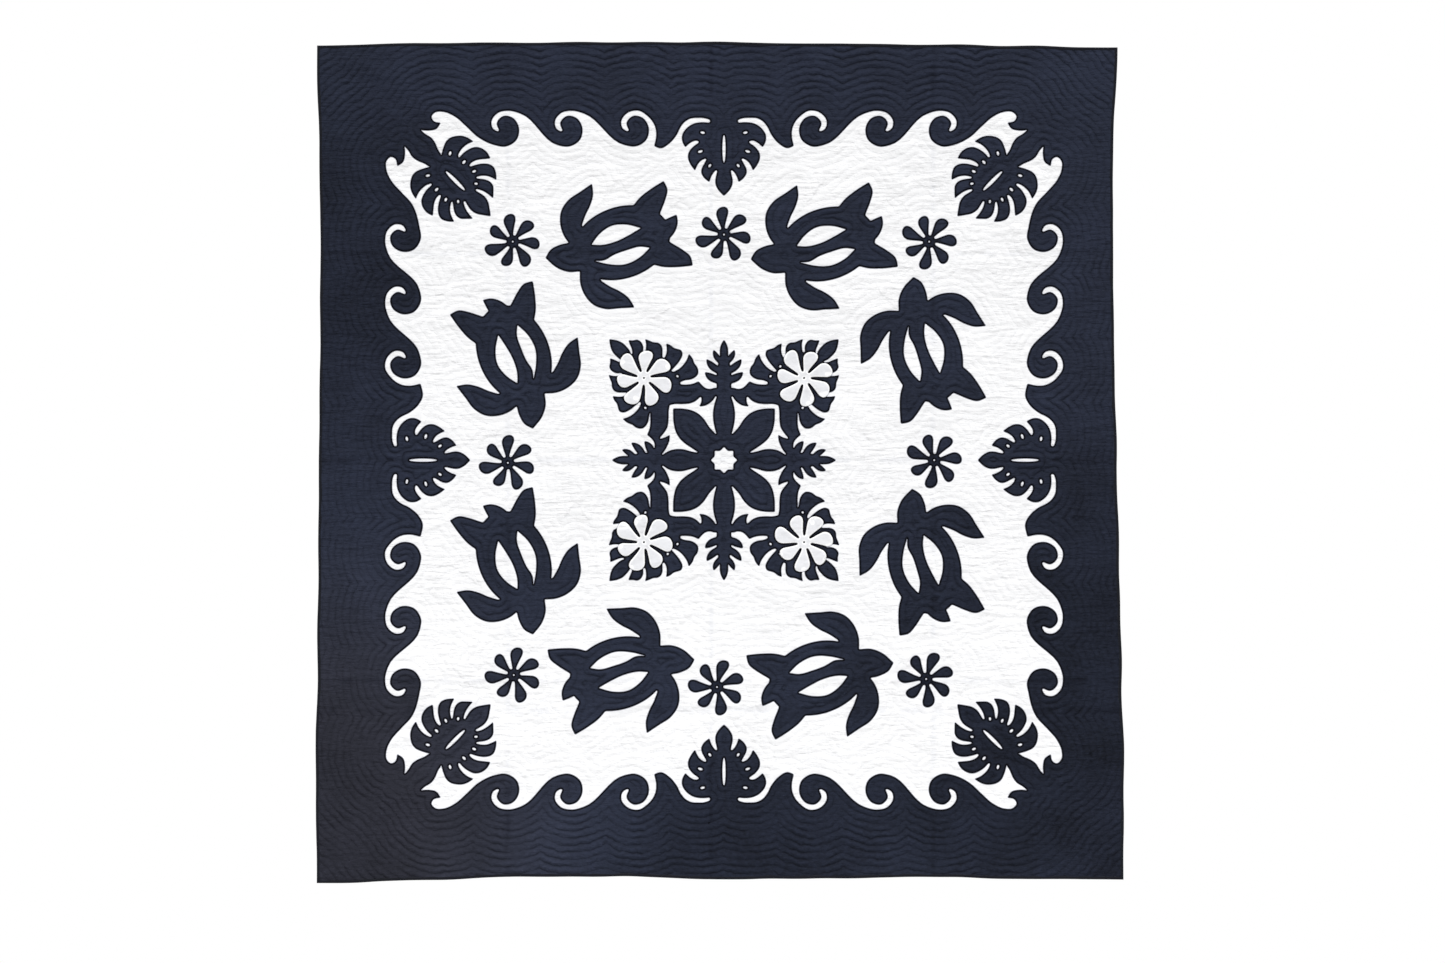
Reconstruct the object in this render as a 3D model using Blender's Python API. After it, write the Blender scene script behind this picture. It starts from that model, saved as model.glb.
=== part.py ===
"""A quilted wall hanging: navy cloth shapes sewn on a white quilted ground, with a narrow binding.

The hanging faces -Y with Z up, and its origin is the middle of its top edge, on the back. The
pattern is drawn flat, in u (to the right) and v (up) from the middle of the cloth. Each flat point
then gets a lift, its distance in front of the wall, from the soft creases of the hanging cloth.
Turtles, split leaves, whirling flowers and curling waves are the ordinary motifs of island
quilting, drawn here from blades and curls by rule. All sizes are in metres.
"""

from collections import namedtuple

import bmesh
import bpy
import numpy as np
from mathutils import Vector
from mathutils.geometry import delaunay_2d_cdt
from mathutils.kdtree import KDTree

# The whole cloth and its layers
GROUND_THICK = 0.007
PIECE_THICK = 0.001
GAP = 0.0003
BINDING_WIDTH = 0.009
BINDING_THICK = 0.001
BINDING_INSET = BINDING_THICK + GAP
PIECE_LIFT = GROUND_THICK + GAP
BLOOM_LIFT = PIECE_LIFT + PIECE_THICK + GAP

# The cloth's four uneven edges, sampled from one corner to the next. The top and bottom run from
# left to right, the left and right sides run from bottom to top.
Edges = namedtuple("Edges", "along top bottom left right")
EDGES = (
    Edges(-1.00, 1.2530, -1.2585, -1.2090, 1.2090),
    Edges(-0.75, 1.2600, -1.2500, -1.2120, 1.2120),
    Edges(-0.50, 1.2625, -1.2390, -1.2070, 1.2040),
    Edges(-0.25, 1.2635, -1.2375, -1.2050, 1.1965),
    Edges(0.00, 1.2640, -1.2465, -1.2030, 1.1900),
    Edges(0.25, 1.2590, -1.2440, -1.1985, 1.1830),
    Edges(0.50, 1.2570, -1.2395, -1.1975, 1.1790),
    Edges(0.75, 1.2530, -1.2445, -1.2025, 1.1785),
    Edges(1.00, 1.2470, -1.2470, -1.2090, 1.1910),
)
EDGE_POINTS = 9
TOP_MIDDLE = 1.2640

# Soft creases left by folding, and the slack between them: the lift at each line across the cloth
Crease = namedtuple("Crease", "at lift")
UPRIGHT_CREASES = (
    Crease(-1.30, 0.0010),
    Crease(-0.93, 0.0050),
    Crease(-0.63, 0.0000),
    Crease(-0.30, 0.0045),
    Crease(-0.02, 0.0005),
    Crease(0.33, 0.0050),
    Crease(0.64, 0.0000),
    Crease(0.95, 0.0045),
    Crease(1.30, 0.0005),
)
LEVEL_CREASES = (
    Crease(-1.35, 0.0060),
    Crease(-0.98, 0.0015),
    Crease(-0.74, 0.0040),
    Crease(-0.36, 0.0000),
    Crease(0.01, 0.0035),
    Crease(0.38, 0.0005),
    Crease(0.63, 0.0030),
    Crease(0.99, 0.0010),
    Crease(1.35, 0.0000),
)

# Quilting. The rows of stitches echo the outlines of the sewn shapes. The solids carry the swell
# of the wadding along some of them: its height at each distance from the nearest outline.
Swell = namedtuple("Swell", "away height")
FRAME_SWELLS = tuple(Swell(0.043 * k, 0.0022 * (k % 2)) for k in range(7))
GROUND_SWELLS = (Swell(0.018, 0.0), Swell(0.046, 0.0020), Swell(0.076, 0.0), Swell(0.106, 0.0020))
SCAN_STEP = 0.014
ROW_TOLERANCE = 0.008
SHORTEST_ROW = 0.24
EDGE_CLEAR = 0.026
EDGE_GUARD = 0.012

# The pattern
DESIGN_MIDDLE = (0.012, 0.010)
FIELD_HALF = (0.900, 0.932)
CURLS_ACROSS = (0.266, 0.465, 0.655)
CURLS_UPRIGHT = (0.286, 0.478, 0.665)
CURL_HEIGHT = 0.063
HOLE_SIDES = 5
SHELL_SIDES = 16
STEPS = 6
SPLINE_STEPS = 3
OUTLINE_TOLERANCE = 0.0031
SMALLEST_LOOP = 1.5e-4

# The waves. Turns are points round a curl, by angle and radius. Marks are points of the field's
# edge, along the side and outwards from it: those of the fins are counted from the corner.
Turn = namedtuple("Turn", "angle radius")
CURL_INNER = (
    Turn(-122, 0.060),
    Turn(-90, 0.055),
    Turn(-45, 0.048),
    Turn(5, 0.040),
    Turn(55, 0.038),
    Turn(100, 0.037),
    Turn(150, 0.030),
    Turn(203, 0.020),
)
CURL_OUTER = (
    Turn(203, 0.026),
    Turn(182, 0.0375),
    Turn(155, 0.0465),
    Turn(118, 0.0510),
    Turn(78, 0.0535),
    Turn(45, 0.0625),
)
Mark = namedtuple("Mark", "along out")
FIN_STEM = (Mark(0.036, -0.036), Mark(0.052, -0.020), Mark(0.034, 0.006), Mark(0.009, 0.034), Mark(-0.024, 0.060))
FIN_POINT = (Mark(-0.024, 0.060), Mark(0.016, 0.056), Mark(0.038, 0.061), Mark(0.051, 0.079))
FIN_BACK = (
    Mark(0.051, 0.079),
    Mark(0.030, 0.084),
    Mark(0.023, 0.097),
    Mark(0.035, 0.111),
    Mark(0.060, 0.112),
    Mark(0.093, 0.098),
    Mark(0.128, 0.068),
    Mark(0.163, 0.036),
)
LAST_CURL = (
    Mark(0.035, 0.101),
    Mark(0.051, 0.084),
    Mark(0.061, 0.063),
    Mark(0.063, 0.040),
    Mark(0.057, 0.009),
)
BAY = (
    Mark(0.190, 0.003),
    Mark(0.163, 0.018),
    Mark(0.142, 0.043),
    Mark(0.128, 0.070),
    Mark(0.116, 0.0835),
    Mark(0.100, 0.0925),
    Mark(0.078, 0.0945),
    Mark(0.056, 0.0930),
    Mark(0.041, 0.0860),
    Mark(0.048, 0.0700),
    Mark(0.000, 0.0600),
)

# Split leaves, from marks of one half in the leaf's own frame: x towards its tip, y out from its
# rib. Every row is one smooth run, with a corner where the next begins, at lobe tips and slit ends.
Hole = namedtuple("Hole", "x y length width angle")
Leaf = namedtuple("Leaf", "half holes rib")
SIDE_LEAF = Leaf(
    half=(
        ((-0.010, 0.034), (0.015, 0.040)),
        (
            (0.015, 0.040), (0.013, 0.065), (0.017, 0.090), (0.032, 0.113),
            (0.053, 0.1255), (0.070, 0.125), (0.088, 0.116),
        ),
        ((0.088, 0.116), (0.074, 0.100), (0.068, 0.086), (0.070, 0.074)),
        ((0.074, 0.075), (0.090, 0.096), (0.106, 0.1065), (0.122, 0.1075), (0.140, 0.100), (0.158, 0.087)),
        ((0.158, 0.087), (0.142, 0.080), (0.129, 0.070), (0.120, 0.053)),
        ((0.124, 0.052), (0.137, 0.059), (0.150, 0.066), (0.164, 0.068), (0.179, 0.060), (0.1925, 0.044)),
        ((0.1925, 0.044), (0.175, 0.038), (0.1635, 0.031), (0.155, 0.023)),
        ((0.157, 0.020), (0.168, 0.0220), (0.185, 0.0257), (0.200, 0.0250), (0.216, 0.017), (0.234, 0.0)),
    ),
    holes=(
        Hole(0.044, 0.064, 0.0165, 0.0085, 102),
        Hole(0.1005, 0.071, 0.0175, 0.0085, 73),
        Hole(0.143, 0.0425, 0.0140, 0.0085, 37),
    ),
    rib=Hole(0.0925, 0.0, 0.086, 0.0100, 0),
)
CORNER_LEAF = Leaf(
    half=(
        (
            (-0.150, 0.040), (-0.080, 0.0355), (-0.058, 0.0405),
            (-0.040, 0.0375), (-0.020, 0.0295), (0.000, 0.0235),
        ),
        ((0.000, 0.0235), (-0.013, 0.047), (-0.020, 0.0675), (-0.0175, 0.084), (-0.009, 0.098)),
        ((-0.009, 0.098), (0.000, 0.1075), (0.014, 0.116), (0.038, 0.122)),
        ((0.038, 0.122), (0.031, 0.104), (0.029, 0.0875), (0.0315, 0.069), (0.038, 0.0545)),
        (
            (0.0425, 0.0575), (0.0415, 0.077), (0.045, 0.096), (0.0525, 0.1125),
            (0.064, 0.122), (0.090, 0.1275), (0.110, 0.122),
        ),
        ((0.110, 0.122), (0.0975, 0.107), (0.085, 0.0905), (0.079, 0.074), (0.0795, 0.0605)),
        (
            (0.0845, 0.061), (0.0925, 0.077), (0.106, 0.096), (0.120, 0.107),
            (0.133, 0.1105), (0.150, 0.104), (0.168, 0.089),
        ),
        ((0.168, 0.089), (0.155, 0.085), (0.141, 0.0785), (0.129, 0.068), (0.1170, 0.0495)),
        (
            (0.1225, 0.050), (0.132, 0.0575), (0.1475, 0.068), (0.160, 0.0718),
            (0.173, 0.0695), (0.187, 0.057), (0.200, 0.043),
        ),
        ((0.200, 0.043), (0.186, 0.042), (0.171, 0.0395), (0.1575, 0.035), (0.1420, 0.0255)),
        ((0.1455, 0.022), (0.158, 0.0252), (0.178, 0.0288), (0.1985, 0.0240), (0.211, 0.0160), (0.233, 0.0)),
    ),
    holes=(
        Hole(0.014, 0.047, 0.0160, 0.0085, 120),
        Hole(0.062, 0.058, 0.0155, 0.0090, 92),
        Hole(0.103, 0.060, 0.0150, 0.0085, 68),
        Hole(0.133, 0.038, 0.0130, 0.0085, 38),
    ),
    rib=Hole(0.083, 0.0, 0.083, 0.0110, 0),
)
MEDALLION_LEAF = Leaf(
    half=(
        ((-0.012, 0.002), (-0.010, 0.030), (0.025, 0.058)),
        ((0.0285, 0.0610), (0.0225, 0.0745), (0.0115, 0.090), (0.007, 0.104), (0.0075, 0.1155)),
        ((0.0075, 0.1155), (0.014, 0.123), (0.025, 0.129), (0.038, 0.1305), (0.0525, 0.137), (0.0705, 0.1390)),
        ((0.0705, 0.1390), (0.0640, 0.1270), (0.0590, 0.108), (0.0595, 0.083), (0.0655, 0.0650)),
        (
            (0.0715, 0.0655), (0.0725, 0.085), (0.0755, 0.107),
            (0.0840, 0.1255), (0.0945, 0.130), (0.1050, 0.1245),
        ),
        ((0.1050, 0.1245), (0.116, 0.119), (0.127, 0.1180), (0.1405, 0.1125)),
        ((0.1405, 0.1125), (0.1315, 0.106), (0.1190, 0.0930), (0.1120, 0.0760)),
        ((0.1185, 0.0750), (0.1290, 0.0855), (0.1380, 0.0940), (0.1500, 0.0982), (0.1600, 0.0960)),
        ((0.1600, 0.0960), (0.1700, 0.0870), (0.1820, 0.0820), (0.1940, 0.0765)),
        ((0.1940, 0.0765), (0.1830, 0.0700), (0.1730, 0.0600), (0.1640, 0.0480)),
        ((0.1700, 0.0440), (0.1825, 0.0570), (0.2010, 0.0615), (0.2100, 0.0580)),
        ((0.2100, 0.0580), (0.2160, 0.0480), (0.2265, 0.0385)),
        ((0.2265, 0.0385), (0.2120, 0.0320), (0.2000, 0.0270), (0.1880, 0.0180)),
        (
            (0.1890, 0.0140), (0.2030, 0.0195), (0.2180, 0.0208),
            (0.2335, 0.0200), (0.2470, 0.0150), (0.2690, 0.0),
        ),
    ),
    holes=(Hole(0.0465, 0.0675, 0.010, 0.008, 0), Hole(0.088, 0.0675, 0.010, 0.008, 0)),
    rib=None,
)
CORNER_LEAF_IN = 0.036
SIDE_LEAF_OUT = 0.094

# A turtle swims towards its own +x. Each part is smooth runs of marks with a corner between them.
# Its fins come in mirrored pairs, its head, tail and two shell slots don't.
SHELL = Hole(-0.008, 0.0, 0.300, 0.214, 0)
TURTLE_PARTS = (
    (
        ((0.100, 0.050), (0.140, 0.040), (0.170, 0.031), (0.198, 0.009), (0.222, -0.031)),
        ((0.222, -0.031), (0.200, -0.049), (0.168, -0.054), (0.135, -0.051), (0.100, -0.060)),
    ),
    (
        ((-0.110, -0.020), (-0.137, -0.019), (-0.162, -0.0235), (-0.192, -0.026)),
        ((-0.192, -0.026), (-0.187, -0.002), (-0.170, 0.021), (-0.145, 0.036), (-0.110, 0.040)),
    ),
)
TURTLE_FINS = (
    (
        ((0.090, 0.010), (0.138, 0.042)),
        (
            (0.138, 0.042), (0.148, 0.075), (0.147, 0.112), (0.132, 0.148),
            (0.102, 0.172), (0.060, 0.184), (0.018, 0.196),
        ),
        ((0.018, 0.196), (0.026, 0.163), (0.046, 0.134), (0.066, 0.114), (0.087, 0.088)),
    ),
    (
        ((-0.060, 0.020), (-0.074, 0.091)),
        ((-0.074, 0.091), (-0.105, 0.110), (-0.142, 0.123), (-0.188, 0.134)),
        ((-0.188, 0.134), (-0.190, 0.106), (-0.174, 0.079), (-0.154, 0.055), (-0.133, 0.030)),
    ),
)
TURTLE_SLOTS = (
    (
        ((0.085, 0.026), (0.052, 0.047), (0.002, 0.065), (-0.046, 0.0595), (-0.084, 0.042)),
        ((-0.084, 0.042), (-0.056, 0.0290), (-0.018, 0.0262), (0.026, 0.0272), (0.058, 0.0330), (0.085, 0.026)),
    ),
    (
        ((0.079, -0.0235), (0.052, -0.0130), (0.010, -0.0085), (-0.040, -0.0145), (-0.078, -0.0225)),
        ((-0.078, -0.0225), (-0.040, -0.0465), (0.003, -0.0575), (0.048, -0.0445), (0.079, -0.0235)),
    ),
)
Swimmer = namedtuple("Swimmer", "u v heading")
SWIMMERS = (
    Swimmer(-0.315, 0.649, 199),
    Swimmer(0.300, 0.645, 199),
    Swimmer(-0.627, 0.312, 292),
    Swimmer(-0.627, -0.305, 292),
    Swimmer(-0.309, -0.637, 18),
    Swimmer(0.288, -0.650, 19),
    Swimmer(0.599, -0.307, 107),
    Swimmer(0.603, 0.328, 107),
)

# Flowers whirl round a pierced middle. Petals are marked by their share of the radius.
PETAL = ((0.10, 0.030), (0.36, 0.115), (0.60, 0.210), (0.76, 0.262), (0.89, 0.236), (0.97, 0.140), (1.00, 0.0))
PETAL_LENGTHS = (1.00, 0.94, 1.05, 0.92, 1.02, 0.97, 0.99)
FLOWER_RADIUS = 0.083
FLOWER_SHARE = 0.83
BLOOM_RADIUS = 0.087
BLOOM_SHARE = 0.98
PETAL_BOW = -0.12
Whirl = namedtuple("Whirl", "u v angle")
FLOWERS = (
    Whirl(0.0, 0.676, 100),
    Whirl(-0.633, 0.655, 104),
    Whirl(0.615, 0.655, 60),
    Whirl(-0.648, -0.008, 95),
    Whirl(0.630, 0.0, 62),
    Whirl(-0.630, -0.644, 88),
    Whirl(0.606, -0.656, 76),
    Whirl(-0.021, -0.680, 80),
)

# The medallion: its corner leaves' tips, its plumes' ends, its ring's outer edge, and the gaps
# between its petals and its columns, in runs of marks for one quarter
LEAF_ROOT = (0.155, 0.171)
LEAF_TIP = (0.344, 0.363)
PLUME_END = (0.336, 0.361)
RING_EDGE = (
    ((0.0, 0.213), (0.029, 0.217)),
    ((0.029, 0.217), (0.040, 0.2135), (0.054, 0.2155), (0.066, 0.2245), (0.076, 0.2365)),
    ((0.076, 0.2365), (0.092, 0.2295), (0.112, 0.2265), (0.136, 0.2270), (0.190, 0.220)),
)
RING_EDGE_SHIFT = 0.006
PETAL_GAP = (
    ((0.0225, 0.078), (0.0285, 0.100), (0.0325, 0.125), (0.0325, 0.145), (0.0285, 0.168), (0.0205, 0.193)),
    ((0.0245, 0.193), (0.033, 0.180), (0.045, 0.1695), (0.057, 0.1635), (0.074, 0.161)),
    ((0.074, 0.161), (0.0685, 0.172), (0.0675, 0.191)),
    ((0.0705, 0.191), (0.083, 0.179), (0.100, 0.171), (0.120, 0.1685), (0.150, 0.1680), (0.163, 0.1650)),
    ((0.163, 0.1650), (0.1655, 0.150), (0.1665, 0.120), (0.1700, 0.098), (0.1790, 0.083), (0.1925, 0.067)),
    ((0.1925, 0.0635), (0.1750, 0.0690), (0.1625, 0.076)),
    ((0.1625, 0.076), (0.1640, 0.058), (0.1700, 0.0425), (0.1780, 0.028), (0.1880, 0.016)),
    ((0.1850, 0.0155), (0.163, 0.0285), (0.143, 0.0330), (0.123, 0.0325), (0.100, 0.0265), (0.077, 0.0215)),
    (
        (0.077, 0.0230), (0.093, 0.0340), (0.112, 0.0465), (0.130, 0.0620),
        (0.1435, 0.0830), (0.1505, 0.110), (0.1525, 0.1550),
    ),
    (
        (0.1525, 0.1550), (0.120, 0.1540), (0.098, 0.1495), (0.078, 0.1400),
        (0.061, 0.1240), (0.044, 0.0990), (0.0250, 0.078),
    ),
)
BLOOM_AT = (0.240, 0.246)
STAR_POINTS = 8
STAR_OUTER = 0.040
STAR_INNER = 0.030
Spike = namedtuple("Spike", "root_back root_across tip_back tip_across width")
SPIKES = (
    Spike(0.122, 0.006, 0.097, 0.057, 0.0235),
    Spike(0.096, 0.005, 0.058, 0.052, 0.0220),
    Spike(0.070, 0.003, 0.030, 0.031, 0.0175),
)

NAVY = (0.021, 0.026, 0.047, 1.0)
WHITE = (0.87, 0.87, 0.88, 1.0)
BLOOM_WHITE = (0.76, 0.77, 0.79, 1.0)
BINDING_NAVY = (0.010, 0.012, 0.022, 1.0)


# Flat shapes

def blade(root, tip, width, bow=0.0, wave=0.0, belly=0.5, root_share=0.35, tip_power=1.0, steps=STEPS):
    """A fin, petal or lobe round a bowed or waved spine, widest at belly. A low power rounds its tip."""
    root = np.array(root, float)
    tip = np.array(tip, float)
    run = tip - root
    across = np.array((-run[1], run[0]))
    even = np.linspace(0, 1, steps + 1)
    t = (even / 2 + (1 - np.cos(np.pi * even)) / 4)[:, None]
    spine = root + run * t + across * (2 * bow * t * (1 - t) + wave * np.sin(2 * np.pi * t))
    slope = run + across * (2 * bow * (1 - 2 * t) + wave * 2 * np.pi * np.cos(2 * np.pi * t))
    normal = np.stack((-slope[:, 1], slope[:, 0]), axis=1)
    normal /= np.linalg.norm(normal, axis=1)[:, None]
    rise = root_share + (1 - root_share) * np.sin(np.pi / 2 * np.clip(t / belly, 0, 1))
    fall = (1 - np.clip((t - belly) / (1 - belly), 0, 1) ** 2) ** tip_power
    half = width / 2 * np.where(t < belly, rise, fall)
    right = spine - normal * half
    left = spine + normal * half
    return np.vstack((right, left[-2::-1]))


def mirrored(shape):
    """The shape on the other side of its x axis, still anticlockwise."""
    return (shape * (1, -1))[::-1]


def both_sides(shapes):
    """The shapes and their mirror images."""
    return list(shapes) + [mirrored(shape) for shape in shapes]


def placed(shape, at, degrees=0.0):
    """The shape turned about its own origin and moved to a place."""
    c, s = np.cos(np.radians(degrees)), np.sin(np.radians(degrees))
    return shape @ np.array(((c, s), (-s, c))) + np.array(at)


def oval(at, length, width, degrees=0.0, count=6):
    """A small oval hole."""
    angle = np.linspace(0, 2 * np.pi, count, endpoint=False)
    return placed(np.stack((np.cos(angle) * length / 2, np.sin(angle) * width / 2), 1), at, degrees)


def spline(points, steps=SPLINE_STEPS):
    """A smooth line through the points, by Hermite spans."""
    p = np.array(points, float)
    chord = np.linalg.norm(np.diff(p, axis=0), axis=1)[:, None]
    speed = np.diff(p, axis=0) / chord
    inner = (speed[:-1] * chord[1:] + speed[1:] * chord[:-1]) / (chord[1:] + chord[:-1])
    slope = np.vstack((speed[:1], inner, speed[-1:]))
    t = (np.arange(steps) / steps)[None, :, None]
    a, b = p[:-1, None], p[1:, None]
    c, d = (slope[:-1] * chord)[:, None], (slope[1:] * chord)[:, None]
    ends = (2 * t**3 - 3 * t**2 + 1) * a + (3 * t**2 - 2 * t**3) * b
    spans = ends + (t**3 - 2 * t**2 + t) * c + (t**3 - t**2) * d
    return np.vstack((spans.reshape(-1, 2), p[-1:]))


def joined(runs):
    """Smooth runs, end to end, as one line with a corner at each joint."""
    lines = [spline(run) for run in runs]
    return np.vstack([line[:-1] for line in lines[:-1]] + [lines[-1]])


def layers_of(solid, holes, at=(0.0, 0.0), degrees=0.0):
    """Shapes to paint in order, cloth first and then its holes, turned and moved."""
    painted = [(placed(shape, at, degrees), True) for shape in solid]
    return painted + [(placed(shape, at, degrees), False) for shape in holes]


def leaf_layers(leaf, at, degrees):
    """A split leaf's two halves, then its holes and the slot along its rib."""
    half = joined(leaf.half)
    whole = np.vstack((half * (1, -1), half[-2::-1]))
    cuts = [oval((h.x, h.y), h.length, h.width, h.angle, HOLE_SIDES) for h in leaf.holes]
    ribs = []
    if leaf.rib:
        rib = leaf.rib
        ribs.append(oval((rib.x, rib.y), rib.length, rib.width, rib.angle, 2 * HOLE_SIDES))
    return layers_of([whole], both_sides(cuts) + ribs, at, degrees)


def turtle_layers(swimmer, middle):
    """A turtle: shell, head, tail and two pairs of fins, with two slots cut in its shell."""
    shell = oval((SHELL.x, SHELL.y), SHELL.length, SHELL.width, SHELL.angle, SHELL_SIDES)
    parts = [joined(runs) for runs in TURTLE_PARTS]
    fins = [joined(runs) for runs in TURTLE_FINS]
    slots = [joined(runs)[:-1] for runs in TURTLE_SLOTS]
    at = middle + (swimmer.u, swimmer.v)
    return layers_of([shell] + parts + both_sides(fins), slots, at, swimmer.heading)


def whirl_layers(at, radius, share, degrees):
    """A flower of bowed, round-ended petals that join at the middle, which is pierced."""
    edge = spline(PETAL)
    petal = np.vstack((edge * (1, -1), edge[-2::-1])) * (1, share)
    petal = np.stack((petal[:, 0], petal[:, 1] + PETAL_BOW * petal[:, 0] ** 2), 1) * radius
    turns = [360 * k / len(PETAL_LENGTHS) for k in range(len(PETAL_LENGTHS))]
    solid = [placed(petal * length, (0, 0), turn) for turn, length in zip(turns, PETAL_LENGTHS)]
    solid.append(oval((0, 0), radius * 0.46, radius * 0.46, count=HOLE_SIDES))
    return layers_of(solid, [oval((0, 0), radius * 0.10, radius * 0.10, count=5)], at, degrees)


def in_quarters(shape):
    """The shape and its mirror images in the other three quarters."""
    return [shape, (shape * (-1, 1))[::-1], shape * (-1, -1), (shape * (1, -1))[::-1]]


def plume_shapes(end, ring, degrees):
    """One arm of the medallion beyond its ring: a plume with spikes on both sides."""
    shapes = [
        blade((ring - 0.030, 0), (end - 0.030, 0), 0.044, 0, 0, 0.40, 0.9, 0.8),
        blade((end - 0.085, 0), (end, 0), 0.025, 0, 0, 0.60, 0.8, 1.0),
    ]
    spikes = []
    for s in SPIKES:
        ends = ((end - s.root_back, s.root_across), (end - s.tip_back, s.tip_across))
        spikes.append(blade(*ends, s.width, 0.20, 0, 0.5, 0.9, 0.9))
    return [placed(shape, (0, 0), degrees) for shape in shapes + both_sides(spikes)]


def medallion_layers(middle):
    """The middle ornament: petals and columns round a star, in a ring with plumes and corner leaves."""
    lean = np.degrees(np.arctan2(LEAF_TIP[1] - LEAF_ROOT[1], LEAF_TIP[0] - LEAF_ROOT[0]))
    layers = []
    for shape, is_cloth in leaf_layers(MEDALLION_LEAF, LEAF_ROOT, lean):
        layers += [(quarter, is_cloth) for quarter in in_quarters(shape)]
    upper = joined(RING_EDGE)
    right = upper[::-1, ::-1] - (RING_EDGE_SHIFT, 0)
    solid = in_quarters(np.vstack(((0, 0), right[::-1], upper[::-1])))
    for degrees in (0, 180):
        solid += plume_shapes(PLUME_END[0], 0.207, degrees) + plume_shapes(PLUME_END[1], 0.213, degrees + 90)
    turns = np.linspace(0, 2 * np.pi, 2 * STAR_POINTS, endpoint=False)
    radii = np.where(np.arange(2 * STAR_POINTS) % 2 == 0, STAR_OUTER, STAR_INNER)
    star = np.stack((np.cos(turns) * radii, np.sin(turns) * radii), 1)
    layers += layers_of(solid, [star] + in_quarters(joined(PETAL_GAP)[::-1]))
    return [(shape + middle, is_cloth) for shape, is_cloth in layers]


def curl_points(table, centre):
    """Points round one curl's centre, in distance from the side's middle and height outwards."""
    angle = np.radians([turn.angle for turn in table])
    radius = np.array([turn.radius for turn in table])
    return np.stack((centre - np.cos(angle) * radius, CURL_HEIGHT + np.sin(angle) * radius), 1)


def half_side(curls, corner):
    """The field's edge from its corner, half a side away, to its middle: fins, curls, a leaf's bay."""
    tables = (FIN_STEM, FIN_POINT, FIN_BACK)
    fins = [np.array([(corner - mark.along, mark.out) for mark in table]) for table in tables]
    runs = fins[:2]
    rising = fins[2]
    for centre in sorted(curls, reverse=True):
        inner = curl_points(CURL_INNER, centre)
        outer = curl_points(CURL_OUTER, centre)
        runs.append(np.vstack((rising, inner)))
        runs.append(np.vstack((inner[-1:], outer[:1])))
        rising = outer
    nearest = min(curls)
    last = np.array(LAST_CURL) * (-1, 1) + (nearest, 0)
    runs.append(np.vstack((rising[:-1], last)))
    runs.append(np.vstack((last[-1:], BAY)))
    return joined(runs)


def field_outline():
    """The whole white field's outline: eight half sides, mirrored."""
    half_u, half_v = FIELD_HALF
    across = half_side(CURLS_ACROSS, half_u)
    upright = half_side(CURLS_UPRIGHT, half_v)
    top_right = across + (0, half_v)
    right_top = upright[:, ::-1] + (half_u, 0)
    quarter = np.vstack((right_top[::-1], top_right))
    upper = np.vstack((quarter, (quarter * (-1, 1))[::-1]))
    loop = np.vstack((upper, (upper * (1, -1))[::-1]))
    keep = np.linalg.norm(loop - np.roll(loop, 1, axis=0), axis=1) > 1e-6
    return loop[keep]


def cloth_outline(inset):
    """The cloth's uneven outer edge, anticlockwise from the bottom left corner, moved inwards."""
    rows = np.array(EDGES)
    fine = np.linspace(-1, 1, EDGE_POINTS)
    top, bottom, left, right = (np.interp(fine, rows[:, 0], rows[:, column]) for column in range(1, 5))
    top, bottom, left, right = top - inset, bottom + inset, left + inset, right - inset

    def between(low, high):
        return low + (fine + 1) / 2 * (high - low)

    bottom_run = np.stack((between(left[0], right[0]), bottom), 1)
    right_run = np.stack((right, between(bottom[-1], top[-1])), 1)
    top_run = np.stack((between(left[-1], right[-1]), top), 1)
    left_run = np.stack((left, between(bottom[0], top[0])), 1)
    return np.vstack((bottom_run[:-1], right_run[:-1], top_run[:0:-1], left_run[:0:-1]))


# Loops: the outlines of what is left when layers are painted one over another

def triangulated(points, edges, faces):
    """Blender's constrained triangulation, as points, triangles and the faces each lies in."""
    made = delaunay_2d_cdt([Vector(p) for p in points], edges, faces, 1, 1e-6)
    return np.array([tuple(p) for p in made[0]]), made[2], made[5]


def painted_loops(layers):
    """The loops round the cloth, where the last layer over a spot says whether cloth is there."""
    points = np.vstack([shape for shape, _ in layers])
    starts = np.cumsum([0] + [len(shape) for shape, _ in layers])
    faces = [list(range(a, b)) for a, b in zip(starts[:-1], starts[1:])]
    flat, triangles, owners = triangulated(points, [], faces)
    kept = [t for t, owner in zip(triangles, owners) if owner and layers[max(owner)][1]]
    loops = [loop for loop in boundary_loops(flat, kept) if abs(area_of(loop)) > SMALLEST_LOOP]
    return [thinned(np.vstack((loop, loop[:1])), OUTLINE_TOLERANCE)[:-1] for loop in loops]


def boundary_loops(flat, triangles):
    """The directed edges that only one triangle has, chained into loops."""
    edges = {(t[k], t[(k + 1) % 3]) for t in triangles for k in range(3)}
    following = {a: b for a, b in sorted(edges) if (b, a) not in edges}
    loops = []
    while following:
        first, nxt = following.popitem()
        chain = [first]
        while nxt in following:
            chain.append(nxt)
            nxt = following.pop(nxt)
        loops.append(flat[chain])
    return loops


def area_of(loop):
    """The signed area of a loop, positive when it is anticlockwise."""
    x, y = loop[:, 0], loop[:, 1]
    return float((x * np.roll(y, -1) - np.roll(x, -1) * y).sum() / 2)


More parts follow.
